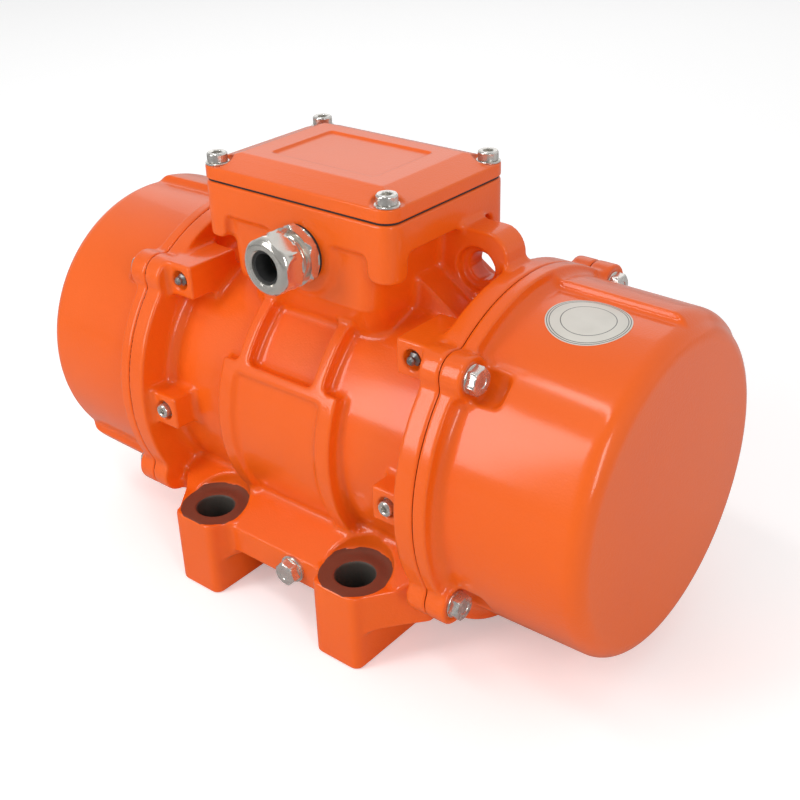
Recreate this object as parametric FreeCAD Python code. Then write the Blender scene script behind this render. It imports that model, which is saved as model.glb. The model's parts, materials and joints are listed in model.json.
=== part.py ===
import FreeCAD, Part
import math
import os

# Vibration motor with eccentric weights at both ends of its shaft.
# Millimetres, +Z up. The origin is the centre of the four foundation holes on the
# plane that the feet stand on. +X is the shaft axis, towards the near cover.
# -Y is the side with the cable gland.

V = FreeCAD.Vector

# Sizes that the others follow: half of the bearing bore, and half of the stator core
shaft_journal_radius = 20.0
stator_half_length = 40.0

# Feet and foundation pattern
foot_spacing_x = 110.0
foot_spacing_y = 175.0
foot_hole_diameter = 22.0
spot_face_diameter = 42.0
spot_face_depth = 0.5
spot_face_room = 14.0
foot_height = 48.5
foot_half_width = 16.0
foot_front_reach = 19.5
foot_base_depth = 62.0
foot_corner_radius = 5.0
foot_shoulder_reach = 21.0
foot_slope_rise = 0.52
wing_bottom_height = 24.0
wing_setback = 23.0
ground_clearance = 7.0

# Web between the feet of one side
web_front_reach = 7.5
web_front_height = 17.0

# Housing barrel and end flanges
bore_radius = 3.4 * shaft_journal_radius
barrel_wall = 10.0
flange_step = 22.0
flange_thickness = 12.0
flange_fillet = 7.0
bolt_circle_inset = 3.2
cover_bolt_angles = (47.0, 131.0, 214.0, 326.0)
ear_radius = 11.5

# Stiffening belt round the stator, with its framed pads and pockets
belt_rise = 8.0
belt_centre_x = -3.5
belt_overlap = 2.0
belt_border = 10.0
belt_panel_depth = 2.5
belt_top_angle = 27.0
belt_bottom_angle = -52.0
belt_rib_width = 7.5
belt_rib_offset = 27.5
belt_rib_top_angle = 64.0

# Terminal box: rim, corner columns and the neck that narrows down to the barrel
box_centre_y = -13.0
box_half_x = 66.0
box_half_y = 49.0
box_floor_rise = 8.0
box_depth = 47.0
box_rim_depth = 17.0
box_corner_radius = 9.0
box_wall = 5.0
box_panel_depth = 3.0
box_rim_wall = 7.0
column_size_x = 16.0
column_size_y = 14.0
column_height = 31.0
column_corner_radius = 5.0
neck_inset_x = 12.0
neck_corner_radius = 11.0
neck_waist_inset_x = 15.5
neck_waist_drop = 3.0
neck_foot_inset_x = 21.0
neck_foot_inset_y = 15.0
neck_foot_drop = 27.0
lead_hole_x = 36.0
lead_hole_diameter = 14.0

# Lid, gasket and lid screws
gasket_thickness = 1.0
gasket_inset = 1.0
gasket_width = 4.0
lid_edge_thickness = 7.0
lid_thickness = 12.5
lid_bevel_x = 17.0
lid_bevel_y = 16.0
lid_panel_border_x = 13.0
lid_panel_border_y = 9.0
lid_panel_depth = 1.5
lid_seat_radius = 8.8
lid_screw_inset = 7.4

# Lifting lugs beside the terminal box, each on a ramp
lug_front_y = -5.0
lug_thickness = 18.0
lug_top_drop = 16.0
lug_nose_radius = 13.0
lug_hole_inset = 18.5
lug_hole_drop = 22.0
lug_hole_diameter = 16.0
lug_counterbore_diameter = 24.0
lug_counterbore_depth = 5.0
gusset_thickness = 15.0
gusset_length = 12.0
gusset_drop = 8.0
ramp_half_width = 25.0
ramp_top_rise = 8.0
ramp_fall = 0.66

# Cable gland on the front wall of the terminal box
gland_x = 5.0
gland_rise = 21.0
gland_boss_radius = 21.0
gland_boss_base_radius = 28.0
gland_boss_height = 3.0
gland_thread_diameter = 25.0
gland_flats = 30.0
gland_washer_thickness = 1.5
gland_washer_width = 3.0
gland_base_length = 6.0
gland_neck_length = 6.0
gland_nut_length = 13.0
gland_nut_overlap = 7.8
gland_lip = 2.0
gland_bore_diameter = 17.0
gland_seal_wall = 2.2
gland_seal_squeeze = 1.0
gland_inner_length = 5.0

# End covers
cover_inset = 9.0
cover_taper = 1.0
cover_wall = 3.5
cover_length = 88.5
cover_edge_radius = 10.0
cover_flange_thickness = 8.0
cover_flange_fillet = 6.0
cover_seat_offset = 12.5
cover_scoop_radius = 11.5
cover_scoop_length = 16.0
cover_bolt_sink_radius = 8.6
cover_pad_rise = 4.5
cover_pad_start = 96.0
cover_pad_span = 40.0
cover_low_pad_start = 278.0
cover_low_pad_span = 45.0
seal_section = 3.0
seal_squeeze = 0.8

# Stator
stator_inner_radius = 0.625 * bore_radius
tooth_tip = 3.5
slot_count = 24
slot_width = 5.0
slot_share = 0.6
winding_overhang = 20.0
winding_back_gap = 5.0
winding_end_room = 20.0

# Rotor and shaft, with radii that follow the journal
air_gap = 0.5
rotor_seat_radius = 1.15 * shaft_journal_radius
shaft_shoulder_radius = 1.225 * shaft_journal_radius
shaft_shoulder_length = 24.0
shaft_end_radius = 0.9 * shaft_journal_radius
shaft_tail = 4.5
shaft_chamfer = 1.5
cage_bar_count = 20
cage_bar_radius = 2.6
cage_bar_depth = 5.0
cage_ring_length = 8.0
cage_ring_width = 11.0
cage_ring_edge = 1.0

# Roller bearings: proportions of the 40 x 90 x 23 size
bearing_width = 1.15 * shaft_journal_radius
bearing_outer_radius = 2.25 * shaft_journal_radius
outer_race_radius = 2.0 * shaft_journal_radius
inner_race_radius = 1.3 * shaft_journal_radius
outer_rib_radius = 1.875 * shaft_journal_radius
rib_length = 3.5
roller_count = 12
roller_clearance = 0.3
roller_end_clearance = 0.5
cage_inner_radius = 1.55 * shaft_journal_radius
cage_outer_radius = 1.75 * shaft_journal_radius
cage_side_length = 2.0

# Flanges that carry the bearings, and their caps
bearing_hub_radius = 2.9 * shaft_journal_radius
bearing_lip_radius = 1.925 * shaft_journal_radius
bearing_lip_length = 2.0
spigot_length = 15.0
spigot_width = 7.0
hub_web_length = 3.0
bearing_plate_overlap = 16.0
bearing_plate_thickness = 8.0
plate_room = 1.0
cap_thickness = 4.5
cap_radius = 2.8 * shaft_journal_radius
cap_spigot_length = 8.5
cap_spigot_width = 4.5
cap_shaft_clearance = 0.4
cap_screw_circle = 2.55 * shaft_journal_radius
cap_screw_count = 4
plate_screw_count = 6

# Eccentric weights, spacers, scale discs and circlips
weight_clearance = 4.8
weight_hub_radius = 1.65 * shaft_journal_radius
weight_thickness = 22.0
weight_span = 150.0
spacer_length = 4.0
spacer_radius = 1.25 * shaft_journal_radius
middle_spacer_length = 3.0
key_width = 10.0
key_height = 8.0
key_sink = 5.0
clamp_ear_width = 32.0
clamp_ear_rise = 11.0
clamp_slit = 2.0
clamp_screw_rise = 6.0
clamp_nut_share = 0.8
disc_radius = 2.1 * shaft_journal_radius
disc_thickness = 2.0
disc_notch = 4.0
circlip_thickness = 1.75
circlip_depth = 1.2
circlip_rise = 3.5
circlip_opening = 4.0

# Fasteners: thread diameter, head size, head height
lid_screw = (6.0, 11.0, 5.0)
cover_screw = (8.0, 13.0, 5.3)
plate_screw = (8.0, 13.0, 6.0)
cap_screw = (5.0, 8.5, 4.0)
port_screw = (5.0, 8.5, 5.0)
clamp_screw = (8.0, 13.0, 8.0)
earth_screw = (8.0, 13.0, 5.3)
socket_share = 0.45
socket_depth_share = 0.5
face_inset = 0.3
washer_thickness = 1.2
washer_rim = 1.0
small_washer_rim = 0.6
earth_washer_rims = (1.6, 0.8)
thread_depth = 14.0
thread_end_gap = 1.0

# Bosses with service ports beside the flanges
port_boss_half_x = 10.0
port_boss_half_z = 10.0
port_screw_inset = 7.0
port_screw_drop = 1.5
nipple_inset = 30.0
nipple_drop = 28.0
port_recess = 4.0
port_hole_radius = 5.5
nipple_length = 6.0
nipple_sink = 1.5
nipple_body_radius = 3.6
nipple_head_radius = 2.6
nipple_neck_radius = 1.8
earth_x = 15.0
earth_rise = 9.0

# Terminal board
board_inset_x = 30.0
board_inset_y = 27.0
board_thickness = 6.0
board_lift = 4.0
board_foot_radius = 4.0
board_foot_inset = 5.0
stud_pitch_x = 24.0
stud_pitch_y = 20.0
stud_radius = 3.0
stud_height = 20.0
stud_sink = 5.0
nut_flats = 10.0
nut_height = 5.0
link_thickness = 1.5
link_width = 9.0

# Clearances
fit_gap = 0.05
seat_gap = 0.3
screw_hole_gap = 0.6

os.makedirs("parts", exist_ok=True)

barrel_radius = bore_radius + barrel_wall
flange_radius = barrel_radius + flange_step
shaft_height = flange_radius + ground_clearance
bolt_circle_radius = flange_radius - bolt_circle_inset
belt_radius = barrel_radius + belt_rise
belt_half_width = stator_half_length + belt_overlap
bearing_plate_radius = bore_radius + bearing_plate_overlap
plate_screw_circle = (bore_radius + bearing_plate_radius) / 2

bearing_x = stator_half_length + winding_overhang + winding_end_room + bearing_lip_length
plate_outer_x = bearing_x + bearing_width + cap_spigot_length
seam_x = plate_outer_x - bearing_plate_thickness
flange_inner_x = seam_x - flange_thickness
shaft_shoulder_x = bearing_x - shaft_shoulder_length
cap_outer_x = plate_outer_x + cap_thickness
fixed_weight_x = cap_outer_x + spacer_length
adjustable_weight_x = fixed_weight_x + weight_thickness + middle_spacer_length
disc_x = adjustable_weight_x + weight_thickness + seat_gap
circlip_x = disc_x + disc_thickness
shaft_half_length = circlip_x + circlip_thickness + shaft_tail

foot_x = foot_spacing_x / 2
foot_y = foot_spacing_y / 2
foot_front_y = foot_y + foot_front_reach
web_bottom_height = shaft_height - barrel_radius
web_front_y = foot_y + web_front_reach

box_floor_height = shaft_height + barrel_radius + box_floor_rise
box_top_height = box_floor_height + box_depth
box_side_x = box_half_x - neck_inset_x
box_front_y = box_centre_y - box_half_y + box_panel_depth
chamber_half_x = box_half_x - neck_waist_inset_x - box_wall
chamber_half_y = box_half_y - box_panel_depth - box_wall
gland_height = box_floor_height + gland_rise
gland_seat_y = box_front_y - gland_boss_height
gland_wall_y = box_front_y + box_wall
lid_seat_height = box_top_height + gasket_thickness + lid_edge_thickness
lid_plateau_half_x = box_half_x - lid_bevel_x
lid_plateau_half_y = box_half_y - lid_bevel_y
lug_top_height = box_top_height - lug_top_drop
lug_hole_x = flange_inner_x - lug_hole_inset
lug_hole_height = lug_top_height - lug_hole_drop
port_boss_x = flange_inner_x + 0.5 - port_boss_half_x

cover_radius = flange_radius - cover_inset
cover_end_radius = cover_radius - cover_taper
cover_end = seam_x + cover_length
weight_radius = bolt_circle_radius - cover_scoop_radius - cover_wall - weight_clearance
clamp_screw_height = weight_hub_radius + clamp_screw_rise
clamp_ear_height = clamp_screw_height + clamp_ear_rise

slot_inner_radius = stator_inner_radius + tooth_tip
slot_depth = slot_share * (bore_radius - slot_inner_radius)
winding_outer_radius = bore_radius - winding_back_gap
rotor_radius = stator_inner_radius - air_gap
cage_bar_circle = rotor_radius - cage_bar_depth
roller_circle = (outer_race_radius + inner_race_radius) / 2
roller_radius = (outer_race_radius - inner_race_radius) / 2 - roller_clearance


def box(x0, x1, y0, y1, z0, z1):
    """Box between two corners."""
    return Part.makeBox(x1 - x0, y1 - y0, z1 - z0, V(x0, y0, z0))


def rod_x(radius, x0, x1, y=0.0, z=shaft_height):
    """Cylinder along X, by default on the shaft axis."""
    return Part.makeCylinder(radius, x1 - x0, V(x0, y, z), V(1, 0, 0))


def rod_y(radius, x, z, y0, y1):
    """Cylinder along Y."""
    return Part.makeCylinder(radius, y1 - y0, V(x, y0, z), V(0, 1, 0))


def rod_z(radius, x, y, z0, z1):
    """Cylinder along Z."""
    return Part.makeCylinder(radius, z1 - z0, V(x, y, z0), V(0, 0, 1))


def ring_x(outer, inner, x0, x1):
    """Plain ring round the shaft axis."""
    return rod_x(outer, x0, x1).cut(rod_x(inner, x0 - 1, x1 + 1))


def polygon(points):
    """Flat face inside a closed chain of points."""
    return Part.Face(Part.makePolygon(points + [points[0]]))


def extrude_x(yz_points, x0, x1):
    """Profile in a plane across the shaft, drawn out along X."""
    return polygon([V(x0, y, z) for y, z in yz_points]).extrude(V(x1 - x0, 0, 0))


def extrude_z(xy_points, z0, z1):
    """Profile seen from above, drawn out upwards."""
    return polygon([V(x, y, z0) for x, y in xy_points]).extrude(V(0, 0, z1 - z0))


def revolve_x(profile_edges):
    """Solid of revolution about the shaft axis, from edges in the XZ plane."""
    wire = Part.Wire(profile_edges)
    return Part.Face(wire).revolve(V(0, 0, shaft_height), V(1, 0, 0), 360)


def at(x, r):
    """Point at axial place x and radius r, in the XZ plane."""
    return V(x, 0, shaft_height + r)


def chain(points):
    """Straight edges through points of (x, radius), closed."""
    nodes = [at(x, r) for x, r in points]
    return [Part.LineSegment(a, b).toShape() for a, b in zip(nodes, nodes[1:] + nodes[:1])]


def around(radius, angle):
    """Y and Z at a radius and angle about the shaft; 0 degrees faces the gland side."""
    a = math.radians(angle)
    return -radius * math.cos(a), shaft_height + radius * math.sin(a)


def sector_x(outer, inner, x0, x1, start, end):
    """Part of a ring round the shaft between two angles."""
    turn = FreeCAD.Matrix(0, 0, -1, x1, -1, 0, 0, 0, 0, 1, 0, shaft_height, 0, 0, 0, 1)
    piece = Part.makeCylinder(outer, x1 - x0, V(0, 0, 0), V(0, 0, 1), end - start)
    piece = piece.cut(Part.makeCylinder(inner, x1 - x0, V(0, 0, 0), V(0, 0, 1)))
    piece.rotate(V(0, 0, 0), V(0, 0, 1), start)
    piece.transformShape(turn)
    return piece


def rounded_plate(half_x, half_y, centre_y, z0, z1, radius):
    """Plate with four round corners, centred on X = 0."""
    plate = box(-half_x, half_x, centre_y - half_y, centre_y + half_y, z0, z1)
    upright = [e for e in plate.Edges if abs(e.BoundBox.ZLength - (z1 - z0)) < 1e-6]
    return plate.makeFillet(min(radius, 0.9 * half_x, 0.9 * half_y), upright)


def mirror_x(shape):
    """The same form on the far end."""
    return shape.mirror(V(0, 0, 0), V(1, 0, 0))


def mirror_y(shape):
    """The same form on the other side of the shaft."""
    return shape.mirror(V(0, 0, 0), V(0, 1, 0))


def both_ends(shape):
    """Near form and its far copy."""
    return [shape, mirror_x(shape)]


def save(name, shapes):
    """Write one node; several loose solids make a group."""
    solids = []
    for shape in shapes if isinstance(shapes, list) else [shapes]:
        solids += shape.Solids
    body = solids[0] if len(solids) == 1 else Part.makeCompound(solids)
    body.exportStep("parts/" + name + ".step")
    print(name, len(solids), round(sum(s.Volume for s in solids)))


def lid_screw_places():
    """Centres of the four lid screws, seen from above."""
    x, y = box_half_x - lid_screw_inset, box_half_y - lid_screw_inset
    return [(sx * x, box_centre_y + sy * y) for sx in (-1, 1) for sy in (-1, 1)]


def bolt_places():
    """Y and Z of the cover bolts."""
    return [around(bolt_circle_radius, angle) for angle in cover_bolt_angles]


def housing_shell():
    """Barrel with its two end flanges, turned as one profile with filleted corners."""
    x0, x1, r0, r1, f = flange_inner_x, seam_x, barrel_radius, flange_radius, flange_fillet
    s = f * math.sqrt(0.5)
    edges = [
        Part.LineSegment(at(-x1, 0), at(-x1, r1)).toShape(),
        Part.LineSegment(at(-x1, r1), at(-x0, r1)).toShape(),
        Part.LineSegment(at(-x0, r1), at(-x0, r0 + f)).toShape(),
        Part.Arc(at(-x0, r0 + f), at(-x0 + f - s, r0 + f - s), at(-x0 + f, r0)).toShape(),
        Part.LineSegment(at(-x0 + f, r0), at(x0 - f, r0)).toShape(),
        Part.Arc(at(x0 - f, r0), at(x0 - f + s, r0 + f - s), at(x0, r0 + f)).toShape(),
        Part.LineSegment(at(x0, r0 + f), at(x0, r1)).toShape(),
        Part.LineSegment(at(x0, r1), at(x1, r1)).toShape(),
        Part.LineSegment(at(x1, r1), at(x1, 0)).toShape(),
        Part.LineSegment(at(x1, 0), at(-x1, 0)).toShape(),
    ]
    return revolve_x(edges)


def housing_ears():
    """Round ears on the flanges, one at each cover bolt."""
    ears = [rod_x(ear_radius, flange_inner_x, seam_x, y, z) for y, z in bolt_places()]
    return ears + [mirror_x(ear) for ear in ears]


def housing_foot():
    """Front near foot: column, sloping shoulder and the wing that runs to the flange."""
    x0, x1 = foot_x - foot_half_width, foot_x + foot_half_width
    shoulder_y = foot_y - foot_shoulder_reach + foot_front_reach
    top_y = barrel_radius * 0.5
    top_z = foot_height + (shoulder_y - top_y) * foot_slope_rise
    profile = [(-foot_front_y, 0), (-foot_front_y, foot_height), (-shoulder_y, foot_height),
               (-top_y, top_z), (-foot_front_y + foot_base_depth, 0)]
    column = extrude_x(profile, x0, x1)
    upright = [e for e in column.Edges
               if e.BoundBox.ZLength > 0.9 * foot_height and e.BoundBox.YLength < 1e-6]
    column = column.makeFillet(foot_corner_radius, upright)
    corner_y, wing_y = foot_corner_radius - foot_front_y, wing_setback - foot_front_y
    wing_x = x0 - 0.6 * foot_half_width
    outline = [(x1 - foot_corner_radius, corner_y), (x1, corner_y),
               (x1 + 0.6 * (flange_inner_x - x1), wing_y),
               (flange_inner_x + 1, wing_y + 0.5 * wing_setback), (flange_inner_x + 1, -top_y),
               (wing_x, -top_y), (wing_x, wing_y), (x0, corner_y)]
    wing = extrude_z(outline, wing_bottom_height, top_z)
    slope = [(-foot_front_y, 0), (-foot_front_y, foot_height), (-shoulder_y, foot_height),
             (-top_y, top_z), (-top_y, 0)]
    wing = wing.common(extrude_x(slope, 0, seam_x))
    return column.fuse(wing)


def housing_web():
    """Web that joins the two feet of the front side."""
    front = web_front_y
    top = web_bottom_height + web_front_height
    inner = barrel_radius * 0.5
    profile = [(-front, web_bottom_height), (-front, top),
               (-inner, top + (front - inner) * foot_slope_rise), (-inner * 0.5, web_bottom_height)]
    return extrude_x(profile, -foot_x, foot_x)


def housing_belt():
    """Belt over the stator: framed lower pad, two upper ribs; one side only."""
    x0, x1 = belt_centre_x - belt_half_width, belt_centre_x + belt_half_width
    border_angle = math.degrees(belt_border / belt_radius)
    pad = sector_x(belt_radius, bore_radius, x0, x1, belt_bottom_angle, belt_top_angle)
    panel = sector_x(belt_radius + 1, belt_radius - belt_panel_depth, x0 + belt_border, x1 - belt_border,
                     belt_bottom_angle + border_angle, belt_top_angle - 0.6 * border_angle)
    pieces = [pad.cut(panel)]
    for side in (-1, 1):
        middle = belt_centre_x + side * belt_rib_offset
        pieces.append(sector_x(belt_radius, bore_radius, middle - belt_rib_width / 2,
                               middle + belt_rib_width / 2, belt_top_angle, belt_rib_top_angle))
    return pieces


def box_columns():
    """Corner columns that take the lid screws, with round lower corners."""
    low, high = box_top_height - column_height, box_top_height
    columns = []
    for sx in (-1, 1):
        for sy in (-1, 1):
            x = (sx * box_half_x, sx * (box_half_x - column_size_x))
            y = (box_centre_y + sy * box_half_y, box_centre_y + sy * (box_half_y - column_size_y))
            column = box(min(x), max(x), min(y), max(y), low, high)
            foot = [e for e in column.Edges if e.BoundBox.ZMax < low + 1 and
                    (abs(e.CenterOfMass.x - x[1]) < 1e-6 or abs(e.CenterOfMass.y - y[1]) < 1e-6)]
            columns.append(column.makeFillet(column_corner_radius, foot))
    return columns


def neck_section(half_x, half_y, z):
    """Outline of the neck at one height, with round corners."""
    plate = rounded_plate(half_x, half_y, box_centre_y, z, z + 1, neck_corner_radius)
    return [f for f in plate.Faces if f.BoundBox.ZMax < z + 1e-6][0].OuterWire


def box_solid():
    """Outside of the terminal box: rim, corner columns, gland boss and the neck down to the barrel."""
    rim = rounded_plate(box_half_x, box_half_y, box_centre_y, box_top_height - box_rim_depth,
                        box_top_height, box_corner_radius)
    half_y = box_half_y - box_panel_depth
    waist = box_floor_height - neck_waist_drop
    neck = Part.makeLoft([neck_section(box_half_x - neck_foot_inset_x, half_y - neck_foot_inset_y,
                                       box_floor_height - neck_foot_drop),
                          neck_section(box_half_x - neck_waist_inset_x, half_y, waist),
                          neck_section(box_half_x - neck_inset_x, half_y, box_top_height - 1)], True, True)
    body = rim.fuse([neck, gland_boss()] + box_columns())
    corners = rounded_plate(box_half_x, box_half_y, box_centre_y, shaft_height, box_top_height,
                            box_corner_radius)
    return body.common(corners)


def box_chamber():
    """Hollow of the terminal box, wider between the screw columns under the lid."""
    high = box_top_height + 1
    well = rounded_plate(chamber_half_x, chamber_half_y, box_centre_y, box_floor_height, high,
                         neck_corner_radius - box_wall)
    half_x, half_y = box_half_x - box_rim_wall, box_half_y - column_size_y - box_rim_wall
    mouth = box(-half_x, half_x, box_centre_y - half_y, box_centre_y + half_y,
                box_top_height - box_rim_depth + box_wall, high)
    return [well, mouth]


def gland_boss():
    """Tapered round boss under the cable gland."""
    base_y = gland_seat_y + gland_boss_height + box_panel_depth
    return Part.makeCone(gland_boss_base_radius, gland_boss_radius, base_y - gland_seat_y,
                         V(gland_x, base_y, gland_height), V(0, -1, 0))


def lifting_lug():
    """Near lifting lug with its round nose, and the gusset behind it."""
    x0, x1 = box_side_x - neck_waist_inset_x + neck_inset_x - 1, flange_inner_x + 1
    top = lug_top_height
    n = lug_nose_radius
    s = n * math.sqrt(0.5)
    y = lug_front_y
    corner = [V(x0, y, shaft_height + bore_radius), V(x0, y, top), V(x1 - n, y, top),
              V(x1 - n + s, y, top - n + s), V(x1, y, top - n), V(x1, y, shaft_height + bore_radius)]
    edges = [
        Part.LineSegment(corner[0], corner[1]).toShape(),
        Part.LineSegment(corner[1], corner[2]).toShape(),
        Part.Arc(corner[2], corner[3], corner[4]).toShape(),
        Part.LineSegment(corner[4], corner[5]).toShape(),
        Part.LineSegment(corner[5], corner[0]).toShape(),
    ]
    lug = Part.Face(Part.Wire(edges)).extrude(V(0, lug_thickness, 0))
    back = lug_front_y + lug_thickness
    gusset = box(x1 - gusset_length, x1, back - 1, back + gusset_thickness, shaft_height + bore_radius,
                 top - gusset_drop)
    eye = rod_y(lug_hole_diameter / 2, lug_hole_x, lug_hole_height, y - 1, back + 1)
    sink = rod_y(lug_counterbore_diameter / 2, lug_hole_x, lug_hole_height, y - 1, y + lug_counterbore_depth)
    rise = box_floor_height + ramp_top_rise
    ramp = polygon([V(x0, -ramp_half_width, rise), V(x1, -ramp_half_width, rise - ramp_fall * (x1 - x0)),
                    V(x1, -ramp_half_width, shaft_height + bore_radius),
                    V(x0, -ramp_half_width, shaft_height + bore_radius)])
    ramp = ramp.extrude(V(0, 2 * ramp_half_width, 0))
    return lug.fuse([gusset, ramp]), [eye, sink]


def port_bosses():
    """Front bosses near the flanges: grease port above, drain port at shaft height."""
    x0, x1 = port_boss_x - port_boss_half_x, flange_inner_x + 1
    port_screw_y, nipple_y = port_screw_inset - flange_radius, nipple_inset - flange_radius
    low_z = shaft_height - port_screw_drop
    high_z = shaft_height + flange_radius - nipple_drop
    low = box(x0, x1, port_screw_y, -bore_radius, low_z - port_boss_half_z, low_z + port_boss_half_z)
    high = box(x0, x1, nipple_y, -bore_radius * 0.5, high_z - port_boss_half_z, high_z + port_boss_half_z)
    low_holes = [rod_y(port_hole_radius, port_boss_x, low_z, port_screw_y - 1, port_screw_y + port_recess),
                 rod_y(port_screw[0] / 2, port_boss_x, low_z, port_screw_y, port_screw_y + thread_depth)]
    high_holes = [rod_y(port_hole_radius, port_boss_x, high_z, nipple_y - 1, nipple_y + port_recess),
                  rod_y(nipple_body_radius, port_boss_x, high_z, nipple_y, nipple_y + thread_depth)]
    return [low, high], low_holes + high_holes


def housing():
    """The casting: barrel, flanges, feet, webs, belts, terminal box, lugs and bosses."""
    foot = housing_foot()
    feet = [foot, mirror_x(foot), mirror_y(foot), mirror_x(mirror_y(foot))]
    web = housing_web()
    belt = housing_belt()
    lug, lug_holes = lifting_lug()
    bosses, port_holes = port_bosses()
    adds = housing_ears() + feet + [web, mirror_y(web)] + belt + [mirror_y(b) for b in belt]
    adds += [box_solid(), lug, mirror_x(lug)] + bosses + [mirror_x(b) for b in bosses]
    body = housing_shell().fuse(adds)
    cuts = [rod_x(bore_radius, -seam_x - 1, seam_x + 1)] + box_chamber()
    for sx in (-1, 1):
        for sy in (-1, 1):
            x, y, low = sx * foot_x, sy * foot_y, foot_height - spot_face_depth
            cuts.append(rod_z(foot_hole_diameter / 2, x, y, -1, foot_height + 1))
            cuts.append(rod_z(spot_face_diameter / 2, x, y, low, foot_height + spot_face_room))
    cuts += lug_holes + [mirror_x(h) for h in lug_holes] + port_holes + [mirror_x(h) for h in port_holes]
    cuts.append(rod_y(gland_thread_diameter / 2, gland_x, gland_height, gland_seat_y - 1, gland_wall_y + 1))
    cuts.append(rod_z(lead_hole_diameter / 2, lead_hole_x, box_centre_y, shaft_height, box_floor_height + 1))
    for x, y in lid_screw_places():
        cuts.append(rod_z(lid_screw[0] / 2, x, y, box_top_height - thread_depth, box_top_height + 1))
    for y, z in bolt_places():
        cuts.append(rod_x(cover_screw[0] / 2, flange_inner_x - 1, seam_x + 1, y, z))
        cuts.append(rod_x(cover_screw[0] / 2, -seam_x - 1, -flange_inner_x + 1, y, z))
    for place in ring_places(plate_screw_circle, plate_screw_count):
        cuts.append(rod_x(plate_screw[0] / 2, seam_x - thread_depth, seam_x + 1, *place))
        cuts.append(rod_x(plate_screw[0] / 2, -seam_x - 1, -seam_x + thread_depth, *place))
    earth_height = web_bottom_height + earth_rise
    cuts.append(rod_y(earth_screw[0] / 2, earth_x, earth_height, -web_front_y - 1,
                      thread_depth - web_front_y))
    return body.cut(cuts)


def ring_places(radius, count, start=30.0):
    """Evenly spaced Y and Z places on a circle about the shaft."""
    return [around(radius, start + 360.0 * k / count) for k in range(count)]


def terminal_lid():
    """Lid with a bevelled plateau, a sunk panel and flat seats under the screws."""
    low = box_top_height + gasket_thickness
    edge = rounded_plate(box_half_x, box_half_y, box_centre_y, low, low + lid_edge_thickness,
                         box_corner_radius)
    rise = lid_thickness - lid_edge_thickness

    def outline(half_x, half_y, z):
        return Part.makePolygon([V(-half_x, box_centre_y - half_y, z), V(half_x, box_centre_y - half_y, z),
                                 V(half_x, box_centre_y + half_y, z), V(-half_x, box_centre_y + half_y, z),
                                 V(-half_x, box_centre_y - half_y, z)])

    bevel = Part.makeLoft([outline(box_half_x, box_half_y, low + lid_edge_thickness),
                           outline(lid_plateau_half_x, lid_plateau_half_y, low + lid_thickness)], True, True)
    bevel = bevel.common(rounded_plate(box_half_x, box_half_y, box_centre_y, low, low + lid_thickness + 1,
                                       box_corner_radius))
    panel = rounded_plate(lid_plateau_half_x - lid_panel_border_x, lid_plateau_half_y - lid_panel_border_y,
                          box_centre_y,
                          low + lid_thickness - lid_panel_depth, low + lid_thickness + 1, 2.0)
    cuts = [panel]
    for x, y in lid_screw_places():
        cuts.append(rod_z(lid_seat_radius, x, y, low + lid_edge_thickness, low + lid_thickness + rise))
        cuts.append(rod_z((lid_screw[0] + screw_hole_gap) / 2, x, y, low - 1, low + lid_edge_thickness + 1))
    hollow_x, hollow_y = lid_plateau_half_x - box_wall, lid_plateau_half_y - box_wall
    cuts.append(rounded_plate(hollow_x, hollow_y, box_centre_y, low - 1, low + lid_edge_thickness, 3.0))
    return edge.fuse(bevel).cut(cuts)


def lid_gasket():
    """Flat gasket that follows the rim of the terminal box."""
    z0, z1 = box_top_height, box_top_height + gasket_thickness
    outer = rounded_plate(box_half_x - gasket_inset, box_half_y - gasket_inset, box_centre_y, z0, z1,
                          box_corner_radius - gasket_inset)
    inner_x = box_half_x - gasket_inset - gasket_width
    inner_y = box_half_y - gasket_inset - gasket_width
    cuts = []
    for half_x, half_y in ((inner_x, inner_y - column_size_y), (inner_x - column_size_x, inner_y)):
        cuts.append(box(-half_x, half_x, box_centre_y - half_y, box_centre_y + half_y, z0 - 1, z1 + 1))
    for x, y in lid_screw_places():
        cuts.append(rod_z((lid_screw[0] + screw_hole_gap) / 2, x, y, z0 - 1, z1 + 1))
    return outer.cut(cuts)


def hexagon_prism(flats, length, start, direction):
    """Hexagonal bar from a point along an axis direction."""
    radius = flats / math.sqrt(3)
    points = [V(radius * math.cos(math.radians(60 * k)), radius * math.sin(math.radians(60 * k)), 0)
              for k in range(6)]
    prism = polygon(points).extrude(V(0, 0, length))
    prism.Placement = FreeCAD.Placement(start, FreeCAD.Rotation(V(0, 0, 1), direction))
    return prism


def socket_screw(size, start, direction, shank):
    """Socket-head screw: start is under the head, direction points out of the head."""
    thread, head, height = size
    body = Part.makeCylinder(head / 2, height, start, direction)
    rim = [e for e in body.Edges if e.Closed and (e.CenterOfMass - start).dot(direction) > height / 2]
    body = body.makeChamfer(min(0.6, head / 12), rim)
    body = body.fuse(Part.makeCylinder(thread / 2, shank, start - direction * shank, direction))
    low = height * (1 - socket_depth_share)
    socket = hexagon_prism(head * socket_share, height - low + 1, start + direction * low, direction)
    return body.cut(socket)


def hex_screw(size, start, direction, shank):
    """Hexagon-head screw with a chamfered face: start is under the head, direction points out of it."""
    thread, flats, height = size
    face = flats / 2 - face_inset
    chamfer = Part.makeCone(face + 2 * height, face, height, start, direction)
    body = hexagon_prism(flats, height, start, direction).common(chamfer)
    return body.fuse(Part.makeCylinder(thread / 2, shank, start - direction * shank, direction))


def washer(size, start, direction, rim=washer_rim):
    """Flat washer whose far face is at start."""
    thread, head, _ = size
    low = start - direction * washer_thickness
    outer = Part.makeCylinder(head / 2 + rim, washer_thickness, low, direction)
    hole = Part.makeCylinder((thread + screw_hole_gap) / 2, washer_thickness + 2, low - direction, direction)
    return outer.cut(hole)


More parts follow.
